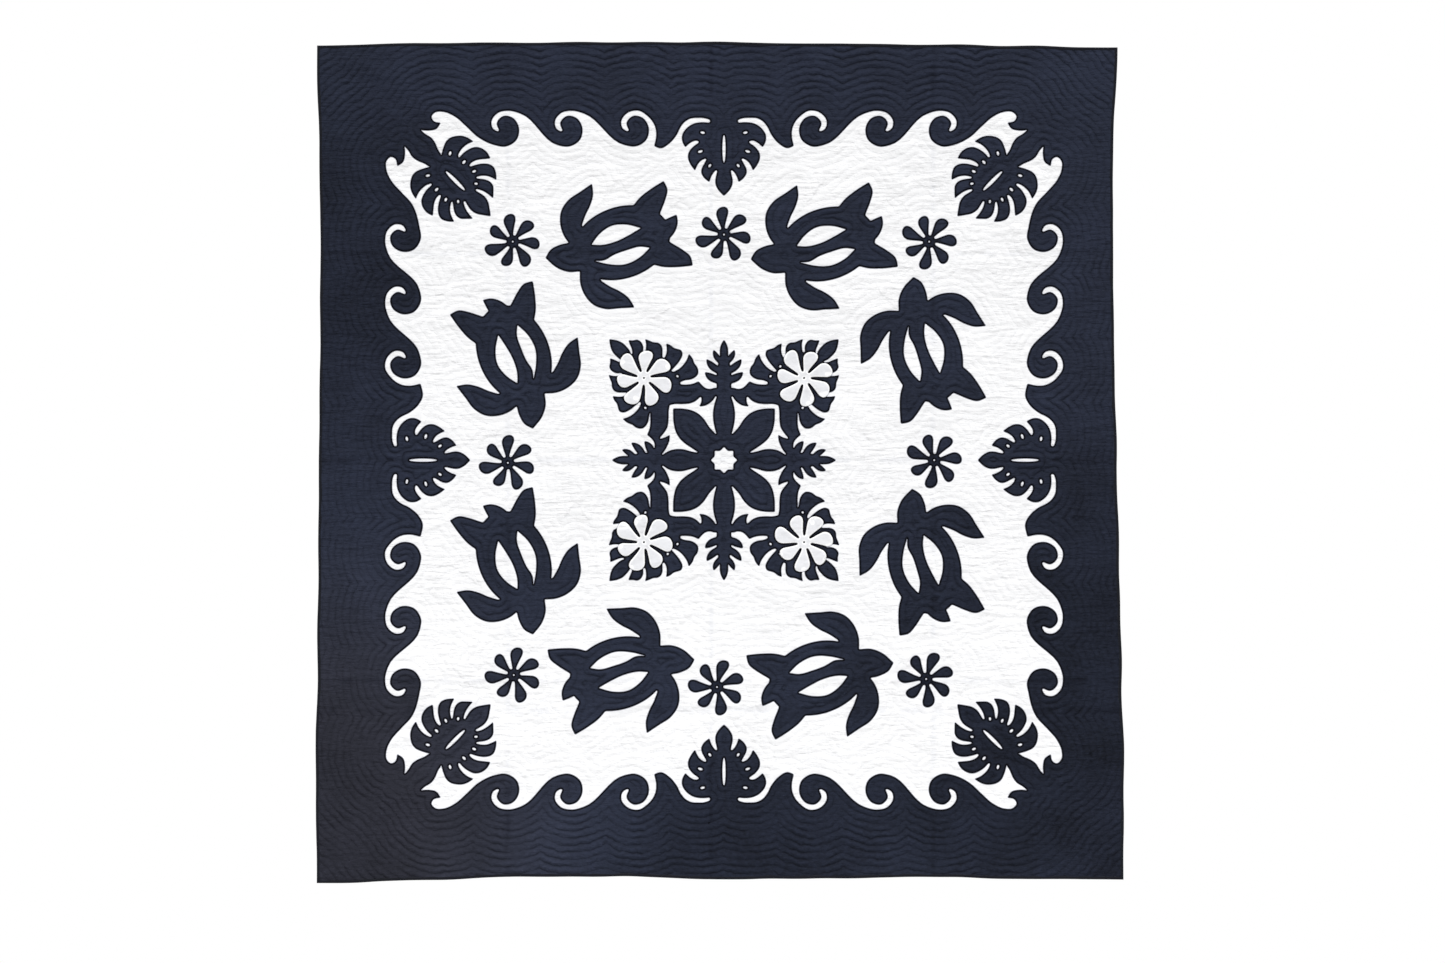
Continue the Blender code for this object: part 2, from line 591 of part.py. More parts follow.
def drawn_pieces():
    """Every sewn shape's loops, by name. The edge frame is one cloth with its eight leaves."""
    middle = np.array(DESIGN_MIDDLE)
    half_u, half_v = FIELD_HALF
    frame = [(cloth_outline(BINDING_INSET), True), (field_outline() + middle, False)]
    for degrees, along in ((0, half_u), (90, half_v), (180, half_u), (270, half_v)):
        out = np.array((np.cos(np.radians(degrees)), np.sin(np.radians(degrees))))
        frame += leaf_layers(SIDE_LEAF, middle + out * (along + SIDE_LEAF_OUT), degrees + 180)
    for sign_u, sign_v, degrees in ((1, 1, 225), (-1, 1, 315), (-1, -1, 45), (1, -1, 135)):
        corner = np.array((sign_u, sign_v)) * (np.array(FIELD_HALF) - CORNER_LEAF_IN)
        frame += leaf_layers(CORNER_LEAF, middle + corner, degrees)
    inner = sorted(painted_loops(frame), key=lambda loop: abs(area_of(loop)))[:-1]
    pieces = {"edge_frame": [cloth_outline(BINDING_INSET)] + inner}
    for number, swimmer in enumerate(SWIMMERS, 1):
        pieces[f"turtle_{number}"] = painted_loops(turtle_layers(swimmer, middle))
    for number, whirl in enumerate(FLOWERS, 1):
        at = middle + (whirl.u, whirl.v)
        layers = whirl_layers(at, FLOWER_RADIUS, FLOWER_SHARE, whirl.angle)
        pieces[f"flower_{number}"] = painted_loops(layers)
    pieces["medallion"] = painted_loops(medallion_layers(middle))
    for number, (sign_u, sign_v) in enumerate(((1, 1), (-1, 1), (-1, -1), (1, -1)), 1):
        at = middle + np.array(BLOOM_AT) * (sign_u, sign_v)
        layers = whirl_layers(at, BLOOM_RADIUS, BLOOM_SHARE, 13 + 13 * number)
        pieces[f"bloom_{number}"] = painted_loops(layers)
    return pieces


# Lines of points

def length_of(line):
    """The length of a line of points."""
    return float(np.linalg.norm(np.diff(line, axis=0), axis=1).sum())


def thinned(line, tolerance):
    """The line with only the points that its shape needs."""
    keep = np.zeros(len(line), bool)
    keep[[0, -1]] = True
    todo = [(0, len(line) - 1)]
    while todo:
        a, b = todo.pop()
        if b - a < 2:
            continue
        run = line[b] - line[a]
        off = line[a + 1 : b] - line[a]
        if np.linalg.norm(run) < 1e-6:
            away = np.linalg.norm(off, axis=1)
        else:
            away = np.abs(off[:, 0] * run[1] - off[:, 1] * run[0]) / np.linalg.norm(run)
        far = int(away.argmax())
        if away[far] > tolerance:
            keep[a + 1 + far] = True
            todo += [(a, a + 1 + far), (a + 1 + far, b)]
    return line[keep]


def chained(pairs):
    """Short edges joined end to end into lines."""
    near = {}
    for a, b in pairs:
        near.setdefault(a, []).append(b)
        near.setdefault(b, []).append(a)
    lines = []
    ends = sorted(point for point, others in near.items() if len(others) == 1)
    for start in ends + sorted(near):
        while near.get(start):
            line = [start]
            while near.get(line[-1]):
                here = line[-1]
                nxt = near[here].pop()
                near[nxt].remove(here)
                line.append(nxt)
            lines.append(np.array(line))
    return lines


def clear_stretches(line, fits):
    """The stretches of a line whose points all fit, each two points long or more."""
    stretches = [[]]
    for point, ok in zip(line, fits(line)):
        if ok:
            stretches[-1].append(point)
        elif stretches[-1]:
            stretches.append([])
    return [np.array(run) for run in stretches if len(run) > 1]


def inside(loops, points):
    """Which points lie in the cloth of these loops, holes left out."""
    points = np.atleast_2d(points)
    crossings = np.zeros(len(points), int)
    for loop in loops:
        for (ax, ay), (bx, by) in zip(loop, np.roll(loop, -1, axis=0)):
            spans = (ay > points[:, 1]) != (by > points[:, 1])
            if spans.any():
                crossings += spans & (points[:, 0] < ax + (points[:, 1] - ay) * (bx - ax) / (by - ay))
    return crossings % 2 == 1


# Hanging: the lift of each flat point, and the swell of the quilting

def crease_lift(u, v):
    """How far the back of the cloth stands off the wall. It is flat between the crease lines."""
    across = np.interp(u, [c.at for c in UPRIGHT_CREASES], [c.lift for c in UPRIGHT_CREASES])
    upright = np.interp(v, [c.at for c in LEVEL_CREASES], [c.lift for c in LEVEL_CREASES])
    return across + upright


def hung(flat, lift):
    """Flat points as places on the hanging cloth, a lift in front of its back."""
    y = -(crease_lift(flat[:, 0], flat[:, 1]) + lift)
    return np.stack((flat[:, 0], y, flat[:, 1] - TOP_MIDDLE), axis=1)


def split_at_creases(line, closed=True):
    """The line with a point wherever it crosses a crease line."""
    ends = np.vstack((line, line[:1])) if closed else line
    out = []
    for a, b in zip(ends[:-1], ends[1:]):
        shares = [0.0]
        for axis, creases in ((0, UPRIGHT_CREASES), (1, LEVEL_CREASES)):
            for crease in creases:
                if min(a[axis], b[axis]) < crease.at < max(a[axis], b[axis]):
                    shares.append((crease.at - a[axis]) / (b[axis] - a[axis]))
        out += [a + (b - a) * share for share in sorted(shares)]
    return np.array(out) if closed else np.array(out + [line[-1]])


def crease_lines(loops):
    """Straight lines along the creases that cross the loops' box."""
    every = np.vstack(loops)
    low_u, low_v = every.min(axis=0) - 0.01
    high_u, high_v = every.max(axis=0) + 0.01
    lines = [((c.at, low_v), (c.at, high_v)) for c in UPRIGHT_CREASES if low_u < c.at < high_u]
    lines += [((low_u, c.at), (high_u, c.at)) for c in LEVEL_CREASES if low_v < c.at < high_v]
    return [np.array(line) for line in lines]


def tree_of(loops, spacing=0.006):
    """A search tree of points along the loops."""
    rows = []
    for loop in loops:
        for a, b in zip(loop, np.roll(loop, -1, axis=0)):
            count = max(1, int(np.ceil(np.linalg.norm(b - a) / spacing)))
            rows += [a + (b - a) * k / count for k in range(count)]
    tree = KDTree(len(rows))
    for number, row in enumerate(rows):
        tree.insert((row[0], row[1], 0.0), number)
    tree.balance()
    return tree


def distances(tree, points):
    """How far each flat point is from the nearest outline."""
    return np.array([tree.find((point[0], point[1], 0.0))[2] for point in points])


def swell_at(swells, away):
    """The wadding's rise at each distance from the outlines."""
    return np.interp(away, [s.away for s in swells], [s.height for s in swells])


def laid_flat(flat, triangles, swell, covered):
    """The swell, without the points whose slopes would reach under a sewn shape."""
    shares = [(a, b, 6 - a - b) for a in range(7) for b in range(7 - a)]
    shares = np.array(shares) / 6
    corners = np.array(triangles)
    samples = np.einsum("st,ntk->nsk", shares, flat[corners])
    heights = np.einsum("st,nt->ns", shares, swell[corners])
    under = covered(samples.reshape(-1, 2)).reshape(heights.shape)
    bad = (under & (heights > GAP / 3)).any(axis=1)
    settled = swell.copy()
    settled[corners[bad].ravel()] = 0.0
    return settled


def distance_grid(tree):
    """A mesh over the cloth whose height is the distance from the nearest outline."""
    counts = [int(2 * half / SCAN_STEP) for half in (1.22, 1.27)]
    grid = bmesh.new()
    bmesh.ops.create_grid(grid, x_segments=counts[0], y_segments=counts[1], size=1.0)
    for vertex in grid.verts:
        vertex.co.x *= 1.22
        vertex.co.y *= 1.27
        vertex.co.z = distances(tree, [vertex.co])[0]
    bmesh.ops.triangulate(grid, faces=grid.faces)
    return grid


def echo_rows(grid, swells):
    """Lines at each swell's distance from the outlines, found by slicing the grid at that height."""
    lines = []
    for swell in swells:
        if swell.away == 0:
            continue
        copy = grid.copy()
        everything = copy.verts[:] + copy.edges[:] + copy.faces[:]
        made = bmesh.ops.bisect_plane(copy, geom=everything, plane_co=(0, 0, swell.away), plane_no=(0, 0, 1))
        edges = [item for item in made["geom_cut"] if isinstance(item, bmesh.types.BMEdge)]
        pairs = [(tuple(edge.verts[0].co.xy), tuple(edge.verts[1].co.xy)) for edge in edges]
        lines += [thinned(line, ROW_TOLERANCE) for line in chained(pairs) if length_of(line) > SHORTEST_ROW]
        copy.free()
    return lines


# Solids

def flat_face(loops, lines):
    """A sheet's face, laid flat: its points, with the lines in it, and its triangles."""
    points, faces, edges = [], [], []
    for loop in loops:
        faces.append(list(range(len(points), len(points) + len(loop))))
        points += list(loop if area_of(loop) > 0 else loop[::-1])
    for line in lines:
        first = len(points)
        points += list(line)
        edges += [(k, k + 1) for k in range(first, first + len(line) - 1)]
    flat, triangles, owners = triangulated(points, edges, faces)
    kept = [t for t, owner in zip(triangles, owners) if len(owner) % 2 == 1]
    used = sorted({corner for t in kept for corner in t})
    order = {old: new for new, old in enumerate(used)}
    return flat[used], [tuple(order[corner] for corner in t) for t in kept]


def sheet_object(name, loops, low, thick, material, rows=(), swell_of=None):
    """One named cloth: a flat back, a front that can swell along rows, and a wall round each loop."""
    loops = [split_at_creases(loop) for loop in loops]
    creases = crease_lines(loops)
    flat, triangles = flat_face(loops, creases + list(rows))
    rims = boundary_loops(flat, triangles)
    back_flat, back_triangles = flat_face(rims, creases)
    on_rim = {tuple(p) for rim in rims for p in rim}
    within = np.array([tuple(p) not in on_rim for p in flat])
    front_lift = low + thick + (within * swell_of(flat, triangles) if swell_of else 0.0)
    mesh = bmesh.new()
    for points, faces in ((hung(flat, front_lift), triangles), (hung(back_flat, low), back_triangles)):
        vertices = [mesh.verts.new(p) for p in points]
        for t in faces:
            mesh.faces.new([vertices[k] for k in t])
    for loop in rims:
        near = [mesh.verts.new(p) for p in hung(loop, low + thick)]
        far = [mesh.verts.new(p) for p in hung(loop, low)]
        for k in range(len(loop)):
            after = (k + 1) % len(loop)
            mesh.faces.new((near[k], far[k], far[after]))
            mesh.faces.new((near[k], far[after], near[after]))
    bmesh.ops.remove_doubles(mesh, verts=mesh.verts, dist=2e-6)
    return mesh_object(name, mesh, material)


def mesh_object(name, mesh, material):
    """Links a mesh, its faces turned outwards, as one named object with its material."""
    bmesh.ops.recalc_face_normals(mesh, faces=mesh.faces)
    data = bpy.data.meshes.new(name)
    mesh.to_mesh(data)
    mesh.free()
    data.materials.append(material)
    made = bpy.data.objects.new(name, data)
    bpy.context.scene.collection.objects.link(made)
    return made


def binding_strip(name, run, inward, material):
    """One side's folded binding, a channel round the edge. Run is the outer edge, corner to corner."""
    low = -GAP - BINDING_THICK
    high = PIECE_LIFT + PIECE_THICK + GAP + BINDING_THICK
    section = (
        (0.0, low),
        (BINDING_WIDTH, low),
        (BINDING_WIDTH, low + BINDING_THICK),
        (BINDING_THICK, low + BINDING_THICK),
        (BINDING_THICK, high - BINDING_THICK),
        (BINDING_WIDTH, high - BINDING_THICK),
        (BINDING_WIDTH, high),
        (0.0, high),
    )
    along = (run[-1] - run[0]) / np.linalg.norm(run[-1] - run[0])
    mesh = bmesh.new()
    rings = []
    for number, point in enumerate(run):
        mitre = {0: along, len(run) - 1: -along}.get(number, np.zeros(2))
        places = np.array([point + inward * depth + mitre * (depth + GAP) for depth, _ in section])
        lifts = np.array([lift for _, lift in section])
        rings.append([mesh.verts.new(p) for p in hung(places, lifts)])
    for a, b in zip(rings[:-1], rings[1:]):
        for k in range(len(section)):
            mesh.faces.new((a[k], a[k - 1], b[k - 1], b[k]))
    mesh.faces.new(rings[0])
    mesh.faces.new(rings[-1][::-1])
    bmesh.ops.triangulate(mesh, faces=mesh.faces)
    return mesh_object(name, mesh, material)


def binding(material):
    """Four strips that meet at mitred corners."""
    outline = cloth_outline(0.0)
    closed = np.vstack((outline, outline[:1]))
    side = len(outline) // 4
    names = ("bottom", "right", "top", "left")
    inwards = ((0.0, 1.0), (-1.0, 0.0), (0.0, -1.0), (1.0, 0.0))
    for number, (name, inward) in enumerate(zip(names, inwards)):
        run = closed[number * side : (number + 1) * side + 1]
        binding_strip(f"binding_{name}", split_at_creases(run, closed=False), np.array(inward), material)


def cotton(name, colour):
    """A plain matt cloth material."""
    material = bpy.data.materials.new(name)
    material.use_nodes = True
    shader = material.node_tree.nodes["Principled BSDF"]
    shader.inputs["Base Color"].default_value = colour
    shader.inputs["Roughness"].default_value = 0.85
    shader.inputs["Metallic"].default_value = 0.0
    return material


def quilt_top(pieces, navy, white, bloom_white):
    """The quilted ground and every shape sewn on it, swelling between the rows of quilting."""
    clear = cloth_outline(EDGE_CLEAR)
    guard = cloth_outline(EDGE_GUARD)
    frame = pieces["edge_frame"]
    sewn = [loop for name, loops in pieces.items() if not name.startswith("bloom") for loop in loops]
    tree = tree_of([loop for loop in sewn if np.ptp(loop[:, 0]) < 2.3])
    grid = distance_grid(tree)

    def on_frame(points):
        return inside(frame, points) & inside([clear], points)

    def on_ground(points):
        return ~inside(sewn, points) & inside([clear], points)

    def frame_swell(points, triangles):
        return swell_at(FRAME_SWELLS, distances(tree, points)) * inside([clear], points)

    def ground_swell(points, triangles):
        swell = swell_at(GROUND_SWELLS, distances(tree, points)) * on_ground(points)
        return laid_flat(points, triangles, swell, lambda places: inside(sewn, places))

    def rows_of(swells, fits):
        return [run for line in echo_rows(grid, swells) for run in clear_stretches(line, fits)]

    frame_rows = rows_of(FRAME_SWELLS, on_frame)
    ground_rows = rows_of(GROUND_SWELLS, on_ground)
    frame_rows.append(np.vstack((guard, guard[:1])))
    grid.free()
    outline = [cloth_outline(BINDING_INSET)]
    sheet_object("quilt_ground", outline, 0.0, GROUND_THICK, white, ground_rows, ground_swell)
    for name, loops in pieces.items():
        if name == "edge_frame":
            sheet_object(name, loops, PIECE_LIFT, PIECE_THICK, navy, frame_rows, frame_swell)
        elif name.startswith("bloom"):
            sheet_object(name, loops, BLOOM_LIFT, PIECE_THICK, bloom_white)
        else:
            sheet_object(name, loops, PIECE_LIFT, PIECE_THICK, navy)


def main():
    """Clears the scene and makes the ground, the sewn shapes and the binding."""
    for old in list(bpy.data.objects):
        bpy.data.objects.remove(old)
    navy = cotton("navy_cotton", NAVY)
    white = cotton("white_cotton", WHITE)
    quilt_top(drawn_pieces(), navy, white, cotton("bloom_cotton", BLOOM_WHITE))
    binding(cotton("binding_cotton", BINDING_NAVY))


main()
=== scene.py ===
"""The look of the quilted wall hanging: its cotton cloths, sewn edges, rows of quilting and binding.

The pattern is drawn flat, in u (to the right) and v (up) from the middle of the cloth, by the same
rules as the solids but finer. One triangulation then covers the whole cloth. Its points lie along
the rows of quilting, and each cloth takes its own triangles and a lift in front of the wall.
Sizes are in metres. Marks of the drawn shapes are in tenths of a millimetre.
"""

from collections import namedtuple

import bpy
import numpy as np
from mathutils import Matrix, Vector
from mathutils.geometry import delaunay_2d_cdt
from mathutils.kdtree import KDTree

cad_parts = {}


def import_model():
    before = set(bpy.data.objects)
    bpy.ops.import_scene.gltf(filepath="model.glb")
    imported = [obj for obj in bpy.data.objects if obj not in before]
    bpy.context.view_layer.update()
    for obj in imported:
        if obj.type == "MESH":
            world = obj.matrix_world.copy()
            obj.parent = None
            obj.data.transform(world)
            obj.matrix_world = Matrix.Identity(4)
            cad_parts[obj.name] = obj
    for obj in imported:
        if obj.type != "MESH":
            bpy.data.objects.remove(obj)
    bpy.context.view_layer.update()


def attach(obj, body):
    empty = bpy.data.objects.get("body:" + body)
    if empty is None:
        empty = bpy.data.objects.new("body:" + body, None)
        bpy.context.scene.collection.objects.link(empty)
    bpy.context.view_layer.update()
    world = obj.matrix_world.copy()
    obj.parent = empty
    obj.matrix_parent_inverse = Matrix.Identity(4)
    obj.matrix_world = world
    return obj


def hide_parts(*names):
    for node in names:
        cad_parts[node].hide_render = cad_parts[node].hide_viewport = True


# The whole cloth and its layers
GROUND_THICK = 0.007
CLOTH_THICK = 0.0011
BINDING_WIDTH = 0.009
BINDING_INSET = 0.0013
BINDING_SPACING = 0.008
TURNED_EDGE = 0.0022
EDGE_SINK = 0.0003
UNDER_SINK = 0.0008
COVERED_SINK = 0.001

# The triangulation
SPACING = 0.0063
ROW_SHARES = 4
OUTLINE_SPACING = 0.0036
COVERED_SPACING = 0.03
UNDER_SPACING = 0.045
BACK_SPACING = 0.0105

# Quilting: the rows' spacing, the wadding's rise between them and how far they wander
PITCH = 0.0214
PUFF = 0.0017
WANDER = 0.0013
EDGE_PRESS = 0.016
PUCKER = 0.0005
SLACK = (0.0015, 0.0006)
RIPPLE_WAVES = 14
SEARCH_SPACING = 0.002

# The cloth's four uneven edges, at even steps: its top and bottom from left to right, then its left
# and right sides from bottom to top
EDGES = (
    (1.253, 1.26, 1.2625, 1.2635, 1.264, 1.259, 1.257, 1.253, 1.247),
    (-1.2585, -1.25, -1.239, -1.2375, -1.2465, -1.244, -1.2395, -1.2445, -1.247),
    (-1.209, -1.212, -1.207, -1.205, -1.203, -1.1985, -1.1975, -1.2025, -1.209),
    (1.209, 1.212, 1.204, 1.1965, 1.19, 1.183, 1.179, 1.1785, 1.191),
)
EDGE_POINTS = 241
EDGE_WANDER = 0.0007
TOP_MIDDLE = 1.264

# The cloth's slow waves off the wall: its lift at each line across it
UPRIGHT_WAVES = (
    (-1.3, 0.001), (-0.93, 0.005), (-0.63, 0.0), (-0.3, 0.0045), (-0.02, 0.0005), (0.33, 0.005),
    (0.64, 0.0), (0.95, 0.0045), (1.3, 0.0005),
)
LEVEL_WAVES = (
    (-1.35, 0.006), (-0.98, 0.0015), (-0.74, 0.004), (-0.36, 0.0), (0.01, 0.0035), (0.38, 0.0005),
    (0.63, 0.003), (0.99, 0.001), (1.35, 0.0),
)

# The pattern
DESIGN_MIDDLE = (0.012, 0.01)
FIELD_HALF = (0.9, 0.932)
CURLS_ACROSS = (0.266, 0.465, 0.655)
CURLS_UPRIGHT = (0.286, 0.478, 0.665)
CURL_HEIGHT = 0.063
HOLE_SIDES = 12
SHELL_SIDES = 72
STEPS = 14
SPLINE_STEPS = 8
SMALLEST_LOOP = 3e-5

# The waves. Curls are points round a middle, by angle and radius. Marks are points of the field's
# edge, along the side and outwards from it: those of the fins are counted from the corner.
TENTHS = 10000
CURL_INNER = (
    (-122, 0.06), (-90, 0.055), (-45, 0.048), (5, 0.04), (55, 0.038), (100, 0.037), (150, 0.03),
    (203, 0.02),
)
CURL_OUTER = ((203, 0.026), (182, 0.0375), (155, 0.0465), (118, 0.051), (78, 0.0535), (45, 0.0625))
FIN_STEM = ((360, -360), (520, -200), (340, 60), (90, 340), (-240, 600))
FIN_POINT = ((-240, 600), (160, 560), (380, 610), (510, 790))
FIN_BACK = (
    (510, 790), (300, 840), (230, 970), (350, 1110), (600, 1120), (930, 980), (1280, 680), (1630, 360),
)
LAST_CURL = ((350, 1010), (510, 840), (610, 630), (630, 400), (570, 90))
BAY = (
    (1900, 30), (1630, 180), (1420, 430), (1280, 700), (1160, 835), (1000, 925), (780, 945), (560, 930),
    (410, 860), (480, 700), (0, 600),
)

# Split leaves, from marks of one half in the leaf's own frame: x towards its tip, y out from its
# rib. Every row is one smooth run, with a corner where the next begins, at lobe tips and slit ends.
Hole = namedtuple("Hole", "x y length width angle")
Leaf = namedtuple("Leaf", "half holes ribs")
SIDE_LEAF = Leaf(half=(
    ((-100, 340), (150, 400)),
    ((150, 400), (130, 650), (170, 900), (320, 1130), (530, 1255), (700, 1250), (880, 1160)),
    ((880, 1160), (740, 1000), (680, 860), (700, 740)),
    ((740, 750), (900, 960), (1060, 1065), (1220, 1075), (1400, 1000), (1580, 870)),
    ((1580, 870), (1420, 800), (1290, 700), (1200, 530)),
    ((1240, 520), (1370, 590), (1500, 660), (1640, 680), (1790, 600), (1925, 440)),
    ((1925, 440), (1750, 380), (1635, 310), (1550, 230)),
    ((1570, 200), (1680, 220), (1850, 257), (2000, 250), (2160, 170), (2340, 0)),
), holes=(
    Hole(0.044, 0.064, 0.0165, 0.0085, 102), Hole(0.1005, 0.071, 0.0175, 0.0085, 73),
    Hole(0.143, 0.0425, 0.014, 0.0085, 37),
), ribs=(Hole(0.0925, 0.0, 0.086, 0.01, 0),))
CORNER_LEAF = Leaf(half=(
    ((-1500, 400), (-800, 355), (-580, 405), (-400, 375), (-200, 295), (0, 235)),
    ((0, 235), (-130, 470), (-200, 675), (-175, 840), (-90, 980)),
    ((-90, 980), (0, 1075), (140, 1160), (380, 1220)),
    ((380, 1220), (310, 1040), (290, 875), (315, 690), (380, 545)),
    ((425, 575), (415, 770), (450, 960), (525, 1125), (640, 1220), (900, 1275), (1100, 1220)),
    ((1100, 1220), (975, 1070), (850, 905), (790, 740), (795, 605)),
    ((845, 610), (925, 770), (1060, 960), (1200, 1070), (1330, 1105), (1500, 1040), (1680, 890)),
    ((1680, 890), (1550, 850), (1410, 785), (1290, 680), (1170, 495)),
    ((1225, 500), (1320, 575), (1475, 680), (1600, 718), (1730, 695), (1870, 570), (2000, 430)),
    ((2000, 430), (1860, 420), (1710, 395), (1575, 350), (1420, 255)),
    ((1455, 220), (1580, 252), (1780, 288), (1985, 240), (2110, 160), (2330, 0)),
), holes=(
    Hole(0.014, 0.047, 0.016, 0.0085, 120), Hole(0.062, 0.058, 0.0155, 0.009, 92),
    Hole(0.103, 0.06, 0.015, 0.0085, 68), Hole(0.133, 0.038, 0.013, 0.0085, 38),
), ribs=(Hole(0.083, 0.0, 0.083, 0.011, 0),))
MEDALLION_LEAF = Leaf(half=(
    ((-120, 20), (-100, 300), (250, 580)),
    ((285, 610), (225, 745), (115, 900), (70, 1040), (75, 1155)),
    ((75, 1155), (140, 1230), (250, 1290), (380, 1305), (525, 1370), (705, 1390)),
    ((705, 1390), (640, 1270), (590, 1080), (595, 830), (655, 650)),
    ((715, 655), (725, 850), (755, 1070), (840, 1255), (945, 1300), (1050, 1245)),
    ((1050, 1245), (1160, 1190), (1270, 1180), (1405, 1125)),
    ((1405, 1125), (1315, 1060), (1190, 930), (1120, 760)),
    ((1185, 750), (1290, 855), (1380, 940), (1500, 982), (1600, 960)),
    ((1600, 960), (1700, 870), (1820, 820), (1940, 765)),
    ((1940, 765), (1830, 700), (1730, 600), (1640, 480)),
    ((1700, 440), (1825, 570), (2010, 615), (2100, 580)),
    ((2100, 580), (2160, 480), (2265, 385)),
    ((2265, 385), (2120, 320), (2000, 270), (1880, 180)),
    ((1890, 140), (2030, 195), (2180, 208), (2335, 200), (2470, 150), (2690, 0)),
), holes=(Hole(0.0465, 0.0675, 0.01, 0.008, 0), Hole(0.088, 0.0675, 0.01, 0.008, 0)), ribs=())
CORNER_LEAF_IN = 0.036
SIDE_LEAF_OUT = 0.094

# A turtle swims towards its own +x. Each part is smooth runs of marks with a corner between them.
# Its fins come in mirrored pairs, its head, tail and two shell slots don't.
SHELL = Hole(-0.008, 0.0, 0.3, 0.214, 0)
TURTLE_PARTS = ((
    ((1000, 500), (1400, 400), (1700, 310), (1980, 90), (2220, -310)),
    ((2220, -310), (2000, -490), (1680, -540), (1350, -510), (1000, -600)),
), (
    ((-1100, -200), (-1370, -190), (-1620, -235), (-1920, -260)),
    ((-1920, -260), (-1870, -20), (-1700, 210), (-1450, 360), (-1100, 400)),
))
TURTLE_FINS = ((
    ((900, 100), (1380, 420)),
    ((1380, 420), (1480, 750), (1470, 1120), (1320, 1480), (1020, 1720), (600, 1840), (180, 1960)),
    ((180, 1960), (260, 1630), (460, 1340), (660, 1140), (870, 880)),
), (
    ((-600, 200), (-740, 910)),
    ((-740, 910), (-1050, 1100), (-1420, 1230), (-1880, 1340)),
    ((-1880, 1340), (-1900, 1060), (-1740, 790), (-1540, 550), (-1330, 300)),
))
TURTLE_SLOTS = ((
    ((850, 260), (520, 470), (20, 650), (-460, 595), (-840, 420)),
    ((-840, 420), (-560, 290), (-180, 262), (260, 272), (580, 330), (850, 260)),
), (
    ((790, -235), (520, -130), (100, -85), (-400, -145), (-780, -225)),
    ((-780, -225), (-400, -465), (30, -575), (480, -445), (790, -235)),
))
# Their places and headings
SWIMMERS = (
    (-0.315, 0.649, 199), (0.3, 0.645, 199), (-0.627, 0.312, 292), (-0.627, -0.305, 292),
    (-0.309, -0.637, 18), (0.288, -0.65, 19), (0.599, -0.307, 107), (0.603, 0.328, 107),
)

# Flowers whirl round a pierced middle. Petals are marked by their share of the radius, and the
# flowers by their places and angles.
PETAL = ((0.1, 0.03), (0.36, 0.115), (0.6, 0.21), (0.76, 0.262), (0.89, 0.236), (0.97, 0.14), (1.0, 0.0))
PETAL_LENGTHS = (1.0, 0.94, 1.05, 0.92, 1.02, 0.97, 0.99)
FLOWER_RADIUS = 0.083
FLOWER_SHARE = 0.83
BLOOM_RADIUS = 0.087
BLOOM_SHARE = 0.98
BLOOM_TURN = 13
HEART_SHARE = 0.46
PIERCING_SHARE = 0.1
PETAL_BOW = -0.12
FLOWERS = (
    (0.0, 0.676, 100), (-0.633, 0.655, 104), (0.615, 0.655, 60), (-0.648, -0.008, 95), (0.63, 0.0, 62),
    (-0.63, -0.644, 88), (0.606, -0.656, 76), (-0.021, -0.68, 80),
)

# The medallion: its corner leaves' tips, its plumes' ends, its ring's outer edge, and the gaps
# between its petals and its columns, in runs of marks for one quarter
LEAF_ROOT = (0.155, 0.171)
LEAF_TIP = (0.344, 0.363)
PLUME_END = (0.336, 0.361)
RING_RADII = (0.207, 0.213)
RING_EDGE = (
    ((0, 2130), (290, 2170)),
    ((290, 2170), (400, 2135), (540, 2155), (660, 2245), (760, 2365)),
    ((760, 2365), (920, 2295), (1120, 2265), (1360, 2270), (1900, 2200)),
)
RING_EDGE_SHIFT = 0.006
PETAL_GAP = (
    ((225, 780), (285, 1000), (325, 1250), (325, 1450), (285, 1680), (205, 1930)),
    ((245, 1930), (330, 1800), (450, 1695), (570, 1635), (740, 1610)),
    ((740, 1610), (685, 1720), (675, 1910)),
    ((705, 1910), (830, 1790), (1000, 1710), (1200, 1685), (1500, 1680), (1630, 1650)),
    ((1630, 1650), (1655, 1500), (1665, 1200), (1700, 980), (1790, 830), (1925, 670)),
    ((1925, 635), (1750, 690), (1625, 760)),
    ((1625, 760), (1640, 580), (1700, 425), (1780, 280), (1880, 160)),
    ((1850, 155), (1630, 285), (1430, 330), (1230, 325), (1000, 265), (770, 215)),
    ((770, 230), (930, 340), (1120, 465), (1300, 620), (1435, 830), (1505, 1100), (1525, 1550)),
    ((1525, 1550), (1200, 1540), (980, 1495), (780, 1400), (610, 1240), (440, 990), (250, 780)),
)
BLOOM_AT = (0.24, 0.246)
STAR_POINTS = 8
STAR_OUTER = 0.04
STAR_INNER = 0.03
Spike = namedtuple("Spike", "root_back root_across tip_back tip_across width")
SPIKES = (
    Spike(0.122, 0.006, 0.097, 0.057, 0.0235),
    Spike(0.096, 0.005, 0.058, 0.052, 0.022),
    Spike(0.07, 0.003, 0.03, 0.031, 0.0175),
)

# Creases from folding: a soft ridge or trough along a line right across the cloth, with painted shade along
# it
Fold = namedtuple("Fold", "upright at height width")
FOLDS = (
    Fold(True, -0.636, 0.0013, 0.009),
    Fold(True, -0.027, -0.0012, 0.008),
    Fold(True, 0.639, 0.0013, 0.009),
    Fold(False, 0.629, -0.0012, 0.008),
    Fold(False, 0.011, 0.0013, 0.009),
    Fold(False, -0.65, 0.0012, 0.009),
    Fold(False, -0.74, -0.001, 0.012),
)
THREAD = 0.0011
